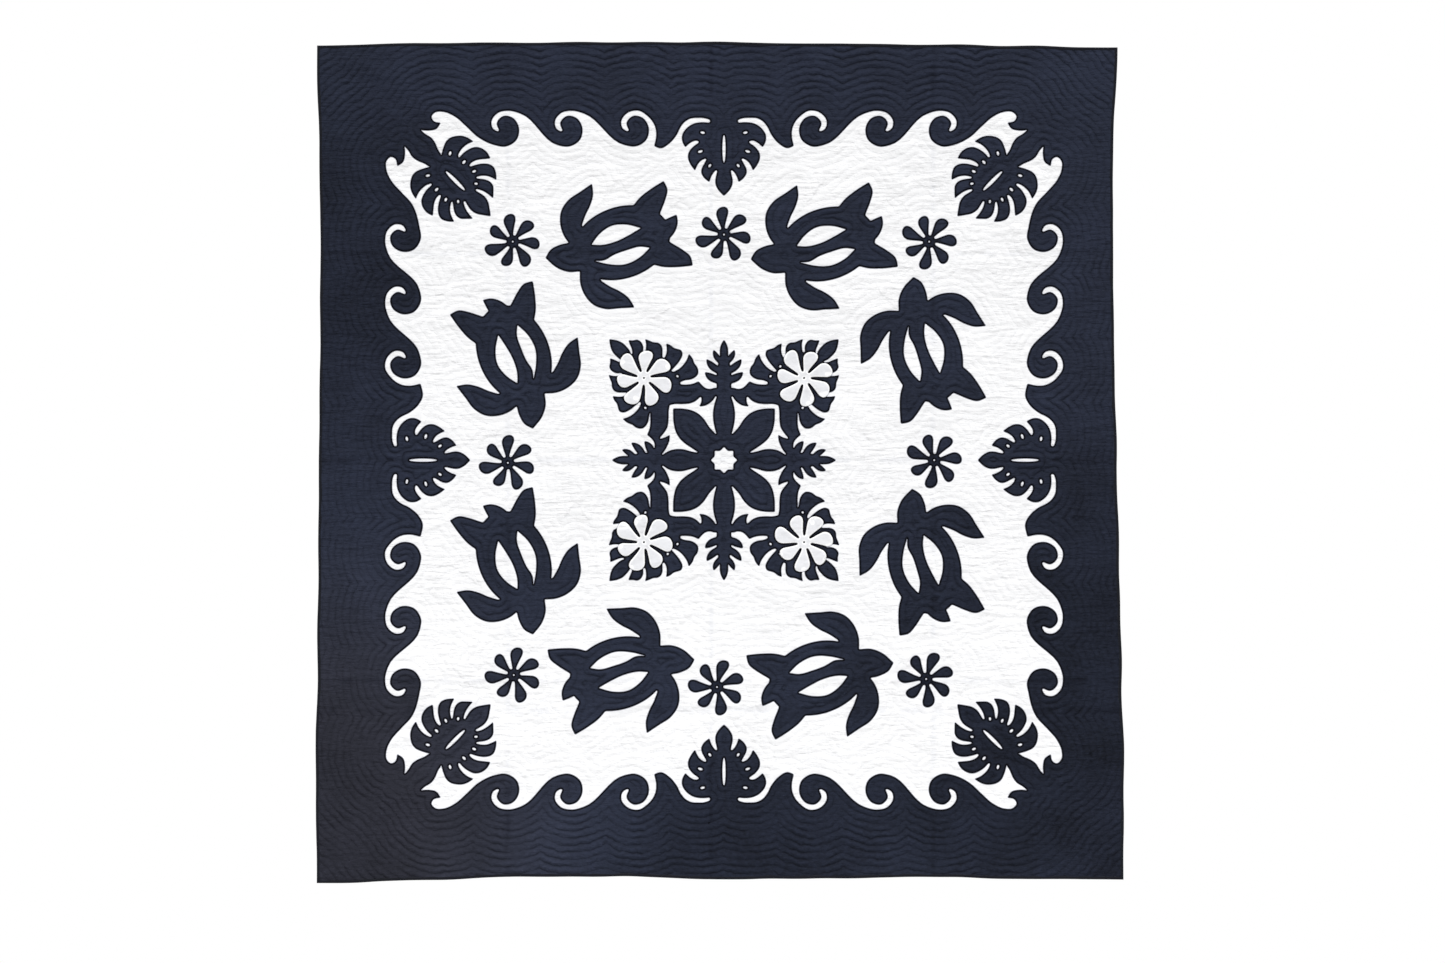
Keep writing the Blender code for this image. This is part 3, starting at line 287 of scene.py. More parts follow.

# Looks: colours for the cloth, for the painted shade in its rows and creases, and for its edge, then how
# strongly each effect shows
# The edge colour is painted shadow at the turned edges of the navy and white cloths; the blooms are lighter
# at their rims.
Look = namedtuple(
    "Look", "colour groove edge mottle edge_width line_depth row_height row_shade wrinkle fade sheen"
)
LOOKS = {
    "white_cotton": Look(
        (0.86, 0.86, 0.87, 1), (0.7, 0.71, 0.75, 1), (0.42, 0.43, 0.5, 1),
        0.02, 0.002, 0.0004, 0.0, 0.0, 0.0026, 0.0, 0.0
    ),
    "navy_cotton": Look(
        (0.0184, 0.0226, 0.0388, 1), (0.005, 0.0058, 0.011, 1), (0.0006, 0.0007, 0.0022, 1),
        0.42, 0.0072, 0.0007, 0.0036, 0.42, 0.0042, 1.0, 0.0
    ),
    "bloom_cotton": Look(
        (0.75, 0.755, 0.78, 1), (0.6, 0.61, 0.65, 1), (0.92, 0.92, 0.93, 1),
        0.05, 0.006, 0.0002, 0.0, 0.0, 0.0012, 0.0, 0.0
    ),
    "binding_cotton": Look(
        (0.005, 0.0058, 0.01, 1), (0.004, 0.0045, 0.008, 1), (0.005, 0.0058, 0.01, 1),
        0.15, 0.001, 0.0001, 0.0, 0.0, 0.002, 0.0, 0.08
    ),
}
# How strongly painted shade darkens the creases and the rows of stitches
CREASE_SHADE = 0.4
LINE_SHADE = 0.22
ROUGHNESS = (0.8, 0.96)
NO_EDGE = 0.01

# Soft patches of painted light and shade, where the navy cloth is lighter or darker, and one where it has
# lost its blue
Fade = namedtuple("Fade", "u v radius change")
PAINTED_LIGHT_AND_SHADE = (
    Fade(-0.6, -0.95, 0.6, 0.22), Fade(-1.2, 0.62, 0.75, -0.28), Fade(1.2, -0.75, 1.2, -0.4),
    Fade(0.05, -1.2, 0.5, -0.32), Fade(-1.1, -0.45, 0.45, 0.22),
)
WORN = Fade(-1.2, -1.05, 0.95, 0.9)
WORN_COLOUR = (0.02, 0.0205, 0.0285, 1)

# Stage
PHOTO_WIDTH = 4.335
LENS = 100.0
SENSOR = 36.0
LOOK_AT = (0.0075, -1.318)
FLOOR_AT = -3.45
FLOOR_HALF = 3.2
FLOOR_COLOUR = (0.72, 0.72, 0.72, 1)
WORLD_LIGHT = 0.45
Lamp = namedtuple("Lamp", "name energy spread towards")
LAMPS = (
    Lamp("key", 2.35, 6.0, (0.1, 0.56, -1.0)),
    Lamp("front", 0.75, 30.0, (-0.3, 1.0, -0.2)),
    Lamp("back", 1.3, 12.0, (0.35, -0.6, -1.0)),
)


# Flat shapes

def blade(root, tip, width, bow, belly, root_share, tip_power):
    """A spike or lobe round a bowed spine, widest at belly. A low power rounds its tip."""
    root = np.array(root, float)
    tip = np.array(tip, float)
    run = tip - root
    across = np.array((-run[1], run[0]))
    even = np.linspace(0, 1, STEPS + 1)
    t = (even / 2 + (1 - np.cos(np.pi * even)) / 4)[:, None]
    spine = root + run * t + across * (2 * bow * t * (1 - t))
    slope = run + across * (2 * bow * (1 - 2 * t))
    normal = np.stack((-slope[:, 1], slope[:, 0]), axis=1)
    normal /= np.linalg.norm(normal, axis=1)[:, None]
    rise = root_share + (1 - root_share) * np.sin(np.pi / 2 * np.clip(t / belly, 0, 1))
    fall = (1 - np.clip((t - belly) / (1 - belly), 0, 1) ** 2) ** tip_power
    half = width / 2 * np.where(t < belly, rise, fall)
    right = spine - normal * half
    left = spine + normal * half
    return np.vstack((right, left[-2::-1]))


def mirrored(shape):
    """The shape on the other side of its x axis, still anticlockwise."""
    return (shape * (1, -1))[::-1]


def both_sides(shapes):
    """The shapes and their mirror images."""
    return list(shapes) + [mirrored(shape) for shape in shapes]


def doubled(half):
    """The whole of a shape, from a half that ends on its x axis."""
    return np.vstack((half * (1, -1), half[-2::-1]))


def placed(shape, at, degrees=0.0):
    """The shape turned about its own origin and moved to a place."""
    c, s = np.cos(np.radians(degrees)), np.sin(np.radians(degrees))
    return shape @ np.array(((c, s), (-s, c))) + np.array(at)


def oval(at, length, width, degrees, count):
    """A small oval hole."""
    angle = np.linspace(0, 2 * np.pi, count, endpoint=False)
    return placed(np.stack((np.cos(angle) * length / 2, np.sin(angle) * width / 2), 1), at, degrees)


def hole_shape(hole, count):
    """A hole's outline."""
    return oval((hole.x, hole.y), hole.length, hole.width, hole.angle, count)


def drawn(tables):
    """Tables of marks, in metres."""
    return [np.array(table) / TENTHS for table in tables]


def spline(points):
    """A smooth line through the points, by Hermite spans."""
    p = np.array(points)
    chord = np.linalg.norm(np.diff(p, axis=0), axis=1)[:, None]
    speed = np.diff(p, axis=0) / chord
    inner = (speed[:-1] * chord[1:] + speed[1:] * chord[:-1]) / (chord[1:] + chord[:-1])
    slope = np.vstack((speed[:1], inner, speed[-1:]))
    t = (np.arange(SPLINE_STEPS) / SPLINE_STEPS)[None, :, None]
    a, b = p[:-1, None], p[1:, None]
    c, d = (slope[:-1] * chord)[:, None], (slope[1:] * chord)[:, None]
    ends = (2 * t**3 - 3 * t**2 + 1) * a + (3 * t**2 - 2 * t**3) * b
    spans = ends + (t**3 - 2 * t**2 + t) * c + (t**3 - t**2) * d
    return np.vstack((spans.reshape(-1, 2), p[-1:]))


def joined(runs):
    """Smooth runs, end to end, as one line with a corner at each joint."""
    lines = [spline(run) for run in runs]
    return np.vstack([line[:-1] for line in lines[:-1]] + [lines[-1]])


def layers_of(solid, holes, at=(0.0, 0.0), degrees=0.0):
    """Shapes to paint in order, cloth first and then its holes, turned and moved."""
    painted = [(placed(shape, at, degrees), True) for shape in solid]
    return painted + [(placed(shape, at, degrees), False) for shape in holes]


def leaf_layers(leaf, at, degrees):
    """A split leaf's two halves, then its holes and the slot along its rib."""
    cuts = both_sides([hole_shape(hole, HOLE_SIDES) for hole in leaf.holes])
    ribs = [hole_shape(rib, 2 * HOLE_SIDES) for rib in leaf.ribs]
    return layers_of([doubled(joined(drawn(leaf.half)))], cuts + ribs, at, degrees)


def turtle_layers(at, heading):
    """A turtle: shell, head, tail and two pairs of fins, with two slots cut in its shell."""
    tables = (TURTLE_PARTS, TURTLE_FINS, TURTLE_SLOTS)
    parts, fins, slots = ([joined(drawn(runs)) for runs in table] for table in tables)
    solid = [hole_shape(SHELL, SHELL_SIDES)] + parts + both_sides(fins)
    return layers_of(solid, [slot[:-1] for slot in slots], at, heading)


def whirl_layers(at, radius, share, degrees):
    """A flower of bowed, round-ended petals that join at the middle, which is pierced."""
    petal = doubled(spline(PETAL)) * (1, share)
    petal = np.stack((petal[:, 0], petal[:, 1] + PETAL_BOW * petal[:, 0] ** 2), 1) * radius
    count = len(PETAL_LENGTHS)
    solid = [placed(petal * length, (0, 0), 360 * k / count) for k, length in enumerate(PETAL_LENGTHS)]
    heart, piercing = radius * HEART_SHARE, radius * PIERCING_SHARE
    solid.append(oval((0, 0), heart, heart, 0.0, HOLE_SIDES))
    return layers_of(solid, [oval((0, 0), piercing, piercing, 0.0, 5)], at, degrees)


def in_quarters(shape):
    """The shape and its mirror images in the other three quarters."""
    return [shape, (shape * (-1, 1))[::-1], shape * (-1, -1), mirrored(shape)]


def plume_shapes(end, ring, degrees):
    """One arm of the medallion beyond its ring: a plume with spikes on both sides."""
    shapes = [
        blade((ring - 0.03, 0), (end - 0.03, 0), 0.044, 0, 0.4, 0.9, 0.8),
        blade((end - 0.085, 0), (end, 0), 0.025, 0, 0.6, 0.8, 1.0),
    ]
    spikes = []
    for s in SPIKES:
        ends = ((end - s.root_back, s.root_across), (end - s.tip_back, s.tip_across))
        spikes.append(blade(*ends, s.width, 0.2, 0.5, 0.9, 0.9))
    return [placed(shape, (0, 0), degrees) for shape in shapes + both_sides(spikes)]


def medallion_layers(middle):
    """The middle ornament: petals and columns round a star, in a ring with plumes and corner leaves."""
    lean = np.degrees(np.arctan2(LEAF_TIP[1] - LEAF_ROOT[1], LEAF_TIP[0] - LEAF_ROOT[0]))
    layers = []
    for shape, is_cloth in leaf_layers(MEDALLION_LEAF, LEAF_ROOT, lean):
        layers += [(quarter, is_cloth) for quarter in in_quarters(shape)]
    upper = joined(drawn(RING_EDGE))
    right = upper[::-1, ::-1] - (RING_EDGE_SHIFT, 0)
    solid = in_quarters(np.vstack(((0, 0), right[::-1], upper[::-1])))
    for degrees in (0, 180):
        for end, ring, turn in zip(PLUME_END, RING_RADII, (0, 90)):
            solid += plume_shapes(end, ring, degrees + turn)
    turns = np.linspace(0, 2 * np.pi, 2 * STAR_POINTS, endpoint=False)
    radii = np.where(np.arange(2 * STAR_POINTS) % 2 == 0, STAR_OUTER, STAR_INNER)
    star = np.stack((np.cos(turns) * radii, np.sin(turns) * radii), 1)
    layers += layers_of(solid, [star] + in_quarters(joined(drawn(PETAL_GAP))[::-1]))
    return [(shape + middle, is_cloth) for shape, is_cloth in layers]


def curl_points(table, centre):
    """Points round one curl's centre, in distance from the side's middle and height outwards."""
    degrees, radius = np.array(table).T
    angle = np.radians(degrees)
    return np.stack((centre - np.cos(angle) * radius, CURL_HEIGHT + np.sin(angle) * radius), 1)


def half_side(curls, corner):
    """The field's edge from its corner, half a side away, to its middle: fins, curls, a leaf's bay."""
    *runs, rising = [fin * (-1, 1) + (corner, 0) for fin in drawn((FIN_STEM, FIN_POINT, FIN_BACK))]
    for centre in sorted(curls, reverse=True):
        inner = curl_points(CURL_INNER, centre)
        outer = curl_points(CURL_OUTER, centre)
        runs.append(np.vstack((rising, inner)))
        runs.append(np.vstack((inner[-1:], outer[:1])))
        rising = outer
    last, bay = drawn((LAST_CURL, BAY))
    last = last * (-1, 1) + (min(curls), 0)
    runs.append(np.vstack((rising[:-1], last)))
    runs.append(np.vstack((last[-1:], bay)))
    return joined(runs)


def field_outline():
    """The whole white field's outline: eight half sides, mirrored."""
    half_u, half_v = FIELD_HALF
    across = half_side(CURLS_ACROSS, half_u)
    upright = half_side(CURLS_UPRIGHT, half_v)
    top_right = across + (0, half_v)
    right_top = upright[:, ::-1] + (half_u, 0)
    quarter = np.vstack((right_top[::-1], top_right))
    upper = np.vstack((quarter, (quarter * (-1, 1))[::-1]))
    loop = np.vstack((upper, mirrored(upper)))
    keep = np.linalg.norm(loop - np.roll(loop, 1, axis=0), axis=1) > 1e-6
    return loop[keep]


def cloth_outline(inset):
    """The cloth's uneven outer edge, anticlockwise from the bottom left corner, moved inwards."""
    fine = np.linspace(-1, 1, EDGE_POINTS)
    sides = []
    for number, row in enumerate(EDGES):
        wander = EDGE_WANDER * ripple(np.stack((fine * 1.25, 0 * fine), 1), 0.22, 40 + number)
        sides.append(smooth_between(fine, np.linspace(-1, 1, len(row)), row) + wander)
    top, bottom, left, right = (side + move for side, move in zip(sides, (-inset, inset, inset, -inset)))

    def between(low, high):
        return low + (fine + 1) / 2 * (high - low)

    bottom_run = np.stack((between(left[0], right[0]), bottom), 1)
    right_run = np.stack((right, between(bottom[-1], top[-1])), 1)
    top_run = np.stack((between(left[-1], right[-1]), top), 1)
    left_run = np.stack((left, between(bottom[0], top[0])), 1)
    return np.vstack((bottom_run[:-1], right_run[:-1], top_run[:0:-1], left_run[:0:-1]))


# Loops: the outlines of what is left when layers are painted one over another

def triangulated(points, edges, faces):
    """Blender's constrained triangulation: points, triangles, the input behind each, their faces."""
    made = delaunay_2d_cdt([Vector(p) for p in points.tolist()], edges, faces, 1, 1e-6)
    return np.array([tuple(p) for p in made[0]]), made[2], made[3], made[5]


def painted_loops(layers):
    """The loops round the cloth, where the last layer over a spot says whether cloth is there."""
    points = np.vstack([shape for shape, _ in layers])
    starts = np.cumsum([0] + [len(shape) for shape, _ in layers])
    faces = [list(range(a, b)) for a, b in zip(starts[:-1], starts[1:])]
    flat, triangles, _, owners = triangulated(points, [], faces)
    kept = [t for t, owner in zip(triangles, owners) if owner and layers[max(owner)][1]]
    loops = [flat[chain] for chain in boundary_chains(kept)]
    return [evened(loop) for loop in loops if abs(area_of(loop)) > SMALLEST_LOOP]


def boundary_chains(triangles):
    """The directed edges that only one triangle has, chained into loops of point numbers."""
    edges = {(t[k], t[(k + 1) % 3]) for t in triangles for k in range(3)}
    following = {}
    for a, b in sorted(edges):
        if (b, a) not in edges:
            following.setdefault(a, []).append(b)
    chains = []
    while following:
        first = next(iter(following))
        chain = [first]
        while chain[-1] in following:
            nexts = following[chain[-1]]
            here = nexts.pop()
            if not nexts:
                del following[chain[-1]]
            if here == first:
                break
            chain.append(here)
        chains.append(chain)
    return chains


def area_of(loop):
    """The signed area of a loop, positive when it is anticlockwise."""
    x, y = loop[:, 0], loop[:, 1]
    return float((x * np.roll(y, -1) - np.roll(x, -1) * y).sum() / 2)


def evened(loop, spacing=OUTLINE_SPACING, passes=1):
    """The loop with evenly spaced points, and its corners a little rounded as a turned edge is."""
    closed = np.vstack((loop, loop[:1]))
    along = np.concatenate(([0], np.cumsum(np.linalg.norm(np.diff(closed, axis=0), axis=1))))
    count = max(6, int(round(along[-1] / spacing)))
    at = np.linspace(0, along[-1], count, endpoint=False)
    even = np.stack((np.interp(at, along, closed[:, 0]), np.interp(at, along, closed[:, 1])), 1)
    for _ in range(passes):
        even = (np.roll(even, 1, axis=0) + 2 * even + np.roll(even, -1, axis=0)) / 4
    return even


def drawn_pieces():
    """Every sewn shape's loops, by name. The edge frame is one cloth with its eight leaves."""
    middle = np.array(DESIGN_MIDDLE)
    half_u, half_v = FIELD_HALF
    frame = [(cloth_outline(BINDING_INSET), True), (field_outline() + middle, False)]
    for degrees, along in ((0, half_u), (90, half_v), (180, half_u), (270, half_v)):
        out = np.array((np.cos(np.radians(degrees)), np.sin(np.radians(degrees))))
        frame += leaf_layers(SIDE_LEAF, middle + out * (along + SIDE_LEAF_OUT), degrees + 180)
    for sign_u, sign_v, degrees in ((1, 1, 225), (-1, 1, 315), (-1, -1, 45), (1, -1, 135)):
        corner = np.array((sign_u, sign_v)) * (np.array(FIELD_HALF) - CORNER_LEAF_IN)
        frame += leaf_layers(CORNER_LEAF, middle + corner, degrees)
    inner = sorted(painted_loops(frame), key=lambda loop: abs(area_of(loop)))[:-1]
    outer = evened(cloth_outline(BINDING_INSET), BINDING_SPACING, 0)
    pieces = {"edge_frame": [outer] + inner}
    for number, (u, v, heading) in enumerate(SWIMMERS, 1):
        pieces[f"turtle_{number}"] = painted_loops(turtle_layers(middle + (u, v), heading))
    for number, (u, v, angle) in enumerate(FLOWERS, 1):
        layers = whirl_layers(middle + (u, v), FLOWER_RADIUS, FLOWER_SHARE, angle)
        pieces[f"flower_{number}"] = painted_loops(layers)
    pieces["medallion"] = painted_loops(medallion_layers(middle))
    for number, (sign_u, sign_v) in enumerate(((1, 1), (-1, 1), (-1, -1), (1, -1)), 1):
        at = middle + np.array(BLOOM_AT) * (sign_u, sign_v)
        layers = whirl_layers(at, BLOOM_RADIUS, BLOOM_SHARE, BLOOM_TURN * (1 + number))
        pieces[f"bloom_{number}"] = painted_loops(layers)
    return pieces


# Fields over the flat cloth

def ripple(points, size, seed, stretch=(1.0, 1.0)):
    """A smooth uneven field of waves about so long, with a spread of about one."""
    count = RIPPLE_WAVES
    rng = np.random.default_rng(seed)
    angle = rng.uniform(0, 2 * np.pi, count)
    phase = rng.uniform(0, 2 * np.pi, count)
    turns = 2 * np.pi / (size * rng.uniform(0.6, 1.7, count))
    u, v = points[:, 0] / stretch[0], points[:, 1] / stretch[1]
    waves = np.sin((u[:, None] * np.cos(angle) + v[:, None] * np.sin(angle)) * turns + phase)
    return waves.sum(axis=1) / np.sqrt(count / 2)


def smooth_between(x, at, values):
    """Values between the given ones, easing in and out of each."""
    at, values = np.array(at), np.array(values)
    k = np.clip(np.searchsorted(at, x) - 1, 0, len(at) - 2)
    t = np.clip((x - at[k]) / (at[k + 1] - at[k]), 0, 1)
    return values[k] + (values[k + 1] - values[k]) * (1 - np.cos(np.pi * t)) / 2


def eased(x, low, high):
    """From 0 at low to 1 at high, smoothly."""
    t = np.clip((x - low) / (high - low), 0, 1)
    return t * t * (3 - 2 * t)


def back_lift(flat):
    """How far the back of the cloth stands off the wall: slack, and creases left by folding."""
    u, v = flat[:, 0], flat[:, 1]
    lift = smooth_between(u, *zip(*UPRIGHT_WAVES)) + smooth_between(v, *zip(*LEVEL_WAVES))
    lift += SLACK[0] * ripple(flat, 0.24, 1) + SLACK[1] * ripple(flat, 0.075, 2)
    for number, fold in enumerate(FOLDS):
        across, along = (u, v) if fold.upright else (v, u)
        bend = fold.at + 0.006 * np.sin(along * 3 + number)
        strength = 0.6 + 0.4 * ripple(np.stack((along, 0 * along), 1), 0.5, 10 + number)
        lift += fold.height * strength * np.exp(-(((across - bend) / fold.width) ** 2))
    return lift


def hung(flat, lift):
    """Flat points as places on the hanging cloth, a lift in front of its back."""
    y = -(back_lift(flat) + lift)
    return np.stack((flat[:, 0], y, flat[:, 1] - TOP_MIDDLE), axis=1)


def tree_of(loops):
    """A search tree of points along the loops."""
    rows = []
    for loop in loops:
        after = np.roll(loop, -1, axis=0)
        count = max(1, int(np.ceil(np.linalg.norm(after - loop, axis=1).max() / SEARCH_SPACING)))
        share = (np.arange(count) / count)[None, :, None]
        rows.append((loop[:, None] + (after - loop)[:, None] * share).reshape(-1, 2))
    rows = np.vstack(rows)
    tree = KDTree(len(rows))
    for number, (x, y) in enumerate(rows.tolist()):
        tree.insert((x, y, 0.0), number)
    tree.balance()
    return tree


def nearest(tree, points):
    """How far each flat point is from the nearest outline, and the way from there to the point."""
    found = [tree.find((x, y, 0.0)) for x, y in points.tolist()]
    away = np.array([item[2] for item in found])
    there = np.array([(item[0][0], item[0][1]) for item in found])
    return away, (points - there) / np.maximum(away, 1e-6)[:, None]


def row_distance(points, away):
    """The distance that the rows of stitches keep, which wanders as hand quilting does."""
    wander = WANDER * (ripple(points, 0.05, 3) + 0.5 * ripple(points, 0.022, 4))
    return away + wander * eased(away, 0.004, 0.03)


class Fields:
    """What the rows of quilting do at each flat point."""

    def __init__(self, points, tree, edge_tree):
        self.away, way = nearest(tree, points)
        self.rows = row_distance(points, self.away)
        self.level = way[:, 1] ** 2
        edge, _ = nearest(edge_tree, points)
        press = eased(edge, 0.004, EDGE_PRESS)
        share = np.abs(np.sin(np.pi * self.rows / PITCH)) ** 0.8
        share = 1 - (1 - share) * (0.45 + 0.55 * eased(self.away, 0.0, 0.012))
        rise = PUFF * (1 + 0.2 * ripple(points, 0.045, 5)) * share
        across = ripple(points, 0.013, 6, (6.0, 1.0))
        upright = ripple(points, 0.013, 7, (1.0, 6.0))
        pucker = PUCKER * (across * (1 - self.level) + 0.5 * upright * self.level)
        pucker *= 0.55 + 0.45 * ripple(points, 0.15, 8)
        self.rise = press * np.maximum(rise + pucker * eased(self.away, 0.002, 0.008), 0.0)

    def shades(self):
        """The numbers that the materials read."""
        return {"rows": self.rows, "away": self.away, "level": self.level}


# Points and triangles

def hex_points(spacing):
    """Points in staggered rows over the whole cloth."""
    u = np.arange(-1.24, 1.24, spacing)
    v = np.arange(-1.28, 1.28, spacing * np.sqrt(0.75))
    grid = np.stack(np.meshgrid(u, v), -1)
    grid[1::2, :, 0] += spacing / 2
    return grid.reshape(-1, 2)


def spaced(points, gap):
    """The points without those that share a small square with an earlier one."""
    _, first = np.unique(np.round(points / gap).astype(int), axis=0, return_index=True)
    return points[np.sort(first)]


def along_rows(points, tree, step, least, gap):
    """The points moved to the nearest whole step of the rows' distance, off the outlines."""
    away, way = nearest(tree, points)
    off = row_distance(points, away)
    moved = points + way * (np.maximum(np.round(off / step), least) * step - off)[:, None]
    return spaced(moved[away > 0.0015], gap)


def ring_points(loops, tree):
    """Points beside the loops, as far off as a turned edge is wide, on both sides."""
    out = []
    for loop in loops:
        run = np.roll(loop, -1, axis=0) - np.roll(loop, 1, axis=0)
        normal = np.stack((-run[:, 1], run[:, 0]), 1) / np.linalg.norm(run, axis=1)[:, None]
        out += [loop + normal * TURNED_EDGE, loop - normal * TURNED_EDGE]
    out = np.vstack(out)
    away, _ = nearest(tree, out)
    return spaced(out[away > TURNED_EDGE * 0.8], TURNED_EDGE * 0.8)


def planar(pieces, free):
    """One triangulation of the whole cloth: its points, and each piece's triangles by name."""
    points, faces, names = [], [], []
    count = 0
    for name, loops in pieces.items():
        for loop in loops:
            faces.append(list(range(count, count + len(loop))))
            points.append(loop if area_of(loop) > 0 else loop[::-1])
            names.append(name)
            count += len(loop)
    flat, triangles, _, owners = triangulated(np.vstack(points + [free]), [], faces)
    taken = {name: [] for name in pieces}
    taken["open_ground"] = []
    for triangle, owner in zip(triangles, owners):
        if not owner:
            continue
        over = [name for name in {names[k] for k in owner} if sum(names[k] == name for k in owner) % 2]
        for name in over or ["open_ground"]:
            taken[name].append(triangle)
    return flat, taken


def filled(flat, chains, free):
    """Triangles between loops of points: the new points, triangles, and each loop point's number."""
    loops = [flat[chain] for chain in chains]
    faces, points, rim = [], [], []
    for loop, chain in zip(loops, chains):
        turned = area_of(loop) < 0
        faces.append(list(range(len(rim), len(rim) + len(chain))))
        points.append(loop[::-1] if turned else loop)
        rim += chain[::-1] if turned else chain
    made, triangles, origins, owners = triangulated(np.vstack(points + [free]), [], faces)
    kept = [t for t, owner in zip(triangles, owners) if len(owner) % 2]
    number_of = {}
    for number, origin in enumerate(origins):
        for k in origin:
            if k < len(rim):
                number_of[rim[k]] = number
    return made, kept, number_of


def compact(points, triangles):
    """Only the points that the triangles use, and the triangles renumbered."""
    triangles = np.array(triangles)
    used, renumbered = np.unique(triangles.ravel(), return_inverse=True)
    return points[used], renumbered.reshape(-1, 3), used


def closed_cloth(name, flat, front, front_lift, under_lift, rim_lift, shades, behind=False):
    """A closed cloth: its fine front, a coarse underside that shares its rim, and the wall between."""
    flat, front, used = compact(flat, front)
    lift = front_lift[used]
    chains = boundary_chains(front.tolist())
    free = hex_points(UNDER_SPACING)
    inside = (free > flat.min(axis=0) - UNDER_SPACING) & (free < flat.max(axis=0) + UNDER_SPACING)
    under, under_triangles, number_of = filled(flat, chains, free[inside.all(axis=1)])
    under_lifts = np.full(len(under), under_lift)
    under_lifts[list(number_of.values())] = rim_lift
    first = len(flat)
    faces = front.tolist() + [[first + c, first + b, first + a] for a, b, c in under_triangles]
    for chain in chains:
        for a, b in zip(chain, chain[1:] + chain[:1]):
            low_a, low_b = first + number_of[a], first + number_of[b]
            faces += [[a, low_a, low_b], [a, low_b, b]]
    every = np.vstack((flat, under))
    lifts = np.concatenate((lift, under_lifts))
    if behind:
        faces = [face[::-1] for face in faces]
    nothing = np.zeros(len(under))
    shades = {key: np.concatenate((values[used], nothing)) for key, values in shades.items()}
    return cloth_object(name, every, lifts, faces, shades)


def cloth_object(name, flat, lifts, faces, shades):
    """Links one cloth, smoothly shaded, with the fields that its material reads."""
    flat, faces, used = compact(flat, faces)
    data = bpy.data.meshes.new(name)
    data.from_pydata(hung(flat, lifts[used]).tolist(), [], faces.tolist())
    data.polygons.foreach_set("use_smooth", [True] * len(data.polygons))
    for key, values in shades.items():
        layer = data.attributes.new(key, "FLOAT", "POINT")
        layer.data.foreach_set("value", values[used].astype(np.float32))
    made = bpy.data.objects.new(name, data)
    bpy.context.scene.collection.objects.link(made)
    return made


# Pieces

def declare(piece, node):
    """Attaches a piece to the root body and hides the model's part that it stands for."""
    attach(piece, "root")
    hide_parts(node)


def ground_cloths(flat, fields, open_ground, outer, tree, edge_tree):
    """The white top cloth with its half of the wadding, and the backing with the other half."""
    open_flat, triangles, used = compact(flat, open_ground)
    lifts = GROUND_THICK + fields.rise[used]
    start = len(open_flat)
    every = np.vstack((open_flat, outer))
    chains = boundary_chains(triangles.tolist())
    chains.append(list(range(start, start + len(outer))))
    covered, more, number_of = filled(every, chains, hex_points(COVERED_SPACING))
    place = {new: old for old, new in number_of.items()}
    extra = [k for k in range(len(covered)) if k not in place]
    place.update({k: len(every) + n for n, k in enumerate(extra)})
    front = triangles.tolist() + [[place[k] for k in t] for t in more]
    every = np.vstack((every, covered[extra]))
    sunk = np.full(len(every) - start, GROUND_THICK - COVERED_SINK)
    lifts = np.concatenate((lifts, sunk))
    middle = GROUND_THICK / 2
    shades = {key: np.concatenate((values[used], sunk * 0)) for key, values in fields.shades().items()}
    top = closed_cloth("quilt_top", every, front, lifts, middle, middle, shades)
    free = along_rows(hex_points(BACK_SPACING), tree, PITCH / 2, 0, BACK_SPACING * 0.6)
    back, back_triangles, _ = filled(outer, [list(range(len(outer)))], free)
    back_fields = Fields(back, tree, edge_tree)
    shades = dict(back_fields.shades(), away=back_fields.away + NO_EDGE)
    lifts = -0.5 * back_fields.rise
    backing = closed_cloth("quilt_backing", back, back_triangles, lifts, middle, middle, shades, True)
    return top, backing


def sewn_cloth(name, flat, triangles, fields, layers):
    """One cloth sewn on top, so many cloths up, its edge turned down to what it is sewn to."""
    turn = eased(fields.away, -0.0009, TURNED_EDGE)
    lift = GROUND_THICK + fields.rise + CLOTH_THICK * (layers - 1 + turn)
    low = GROUND_THICK + CLOTH_THICK * (layers - 1)
    return closed_cloth(name, flat, triangles, lift, low - UNDER_SINK, low - EDGE_SINK, fields.shades())


def binding_section():
    """The binding's cross-section, depth in from the edge and lift: out over the edge and back inside."""
    high = GROUND_THICK + CLOTH_THICK
    middle = high / 2
    turn = np.linspace(np.pi / 2, -np.pi / 2, 9)
    over = [(BINDING_WIDTH, high + 0.0002), (BINDING_WIDTH - 0.0008, high + 0.0011), (0.0062, high + 0.0014)]
    around = [(0.004 - 0.004 * np.cos(a), middle + (middle + 0.0012) * np.sin(a)) for a in turn]
    under = [(0.0062, -0.0013), (BINDING_WIDTH - 0.0008, -0.0011), (BINDING_WIDTH, -0.0002)]
    inner = [(0.0016, -0.0001), (0.0011, middle), (0.0016, high + 0.0001)]
    return np.array(over + around + under + inner)


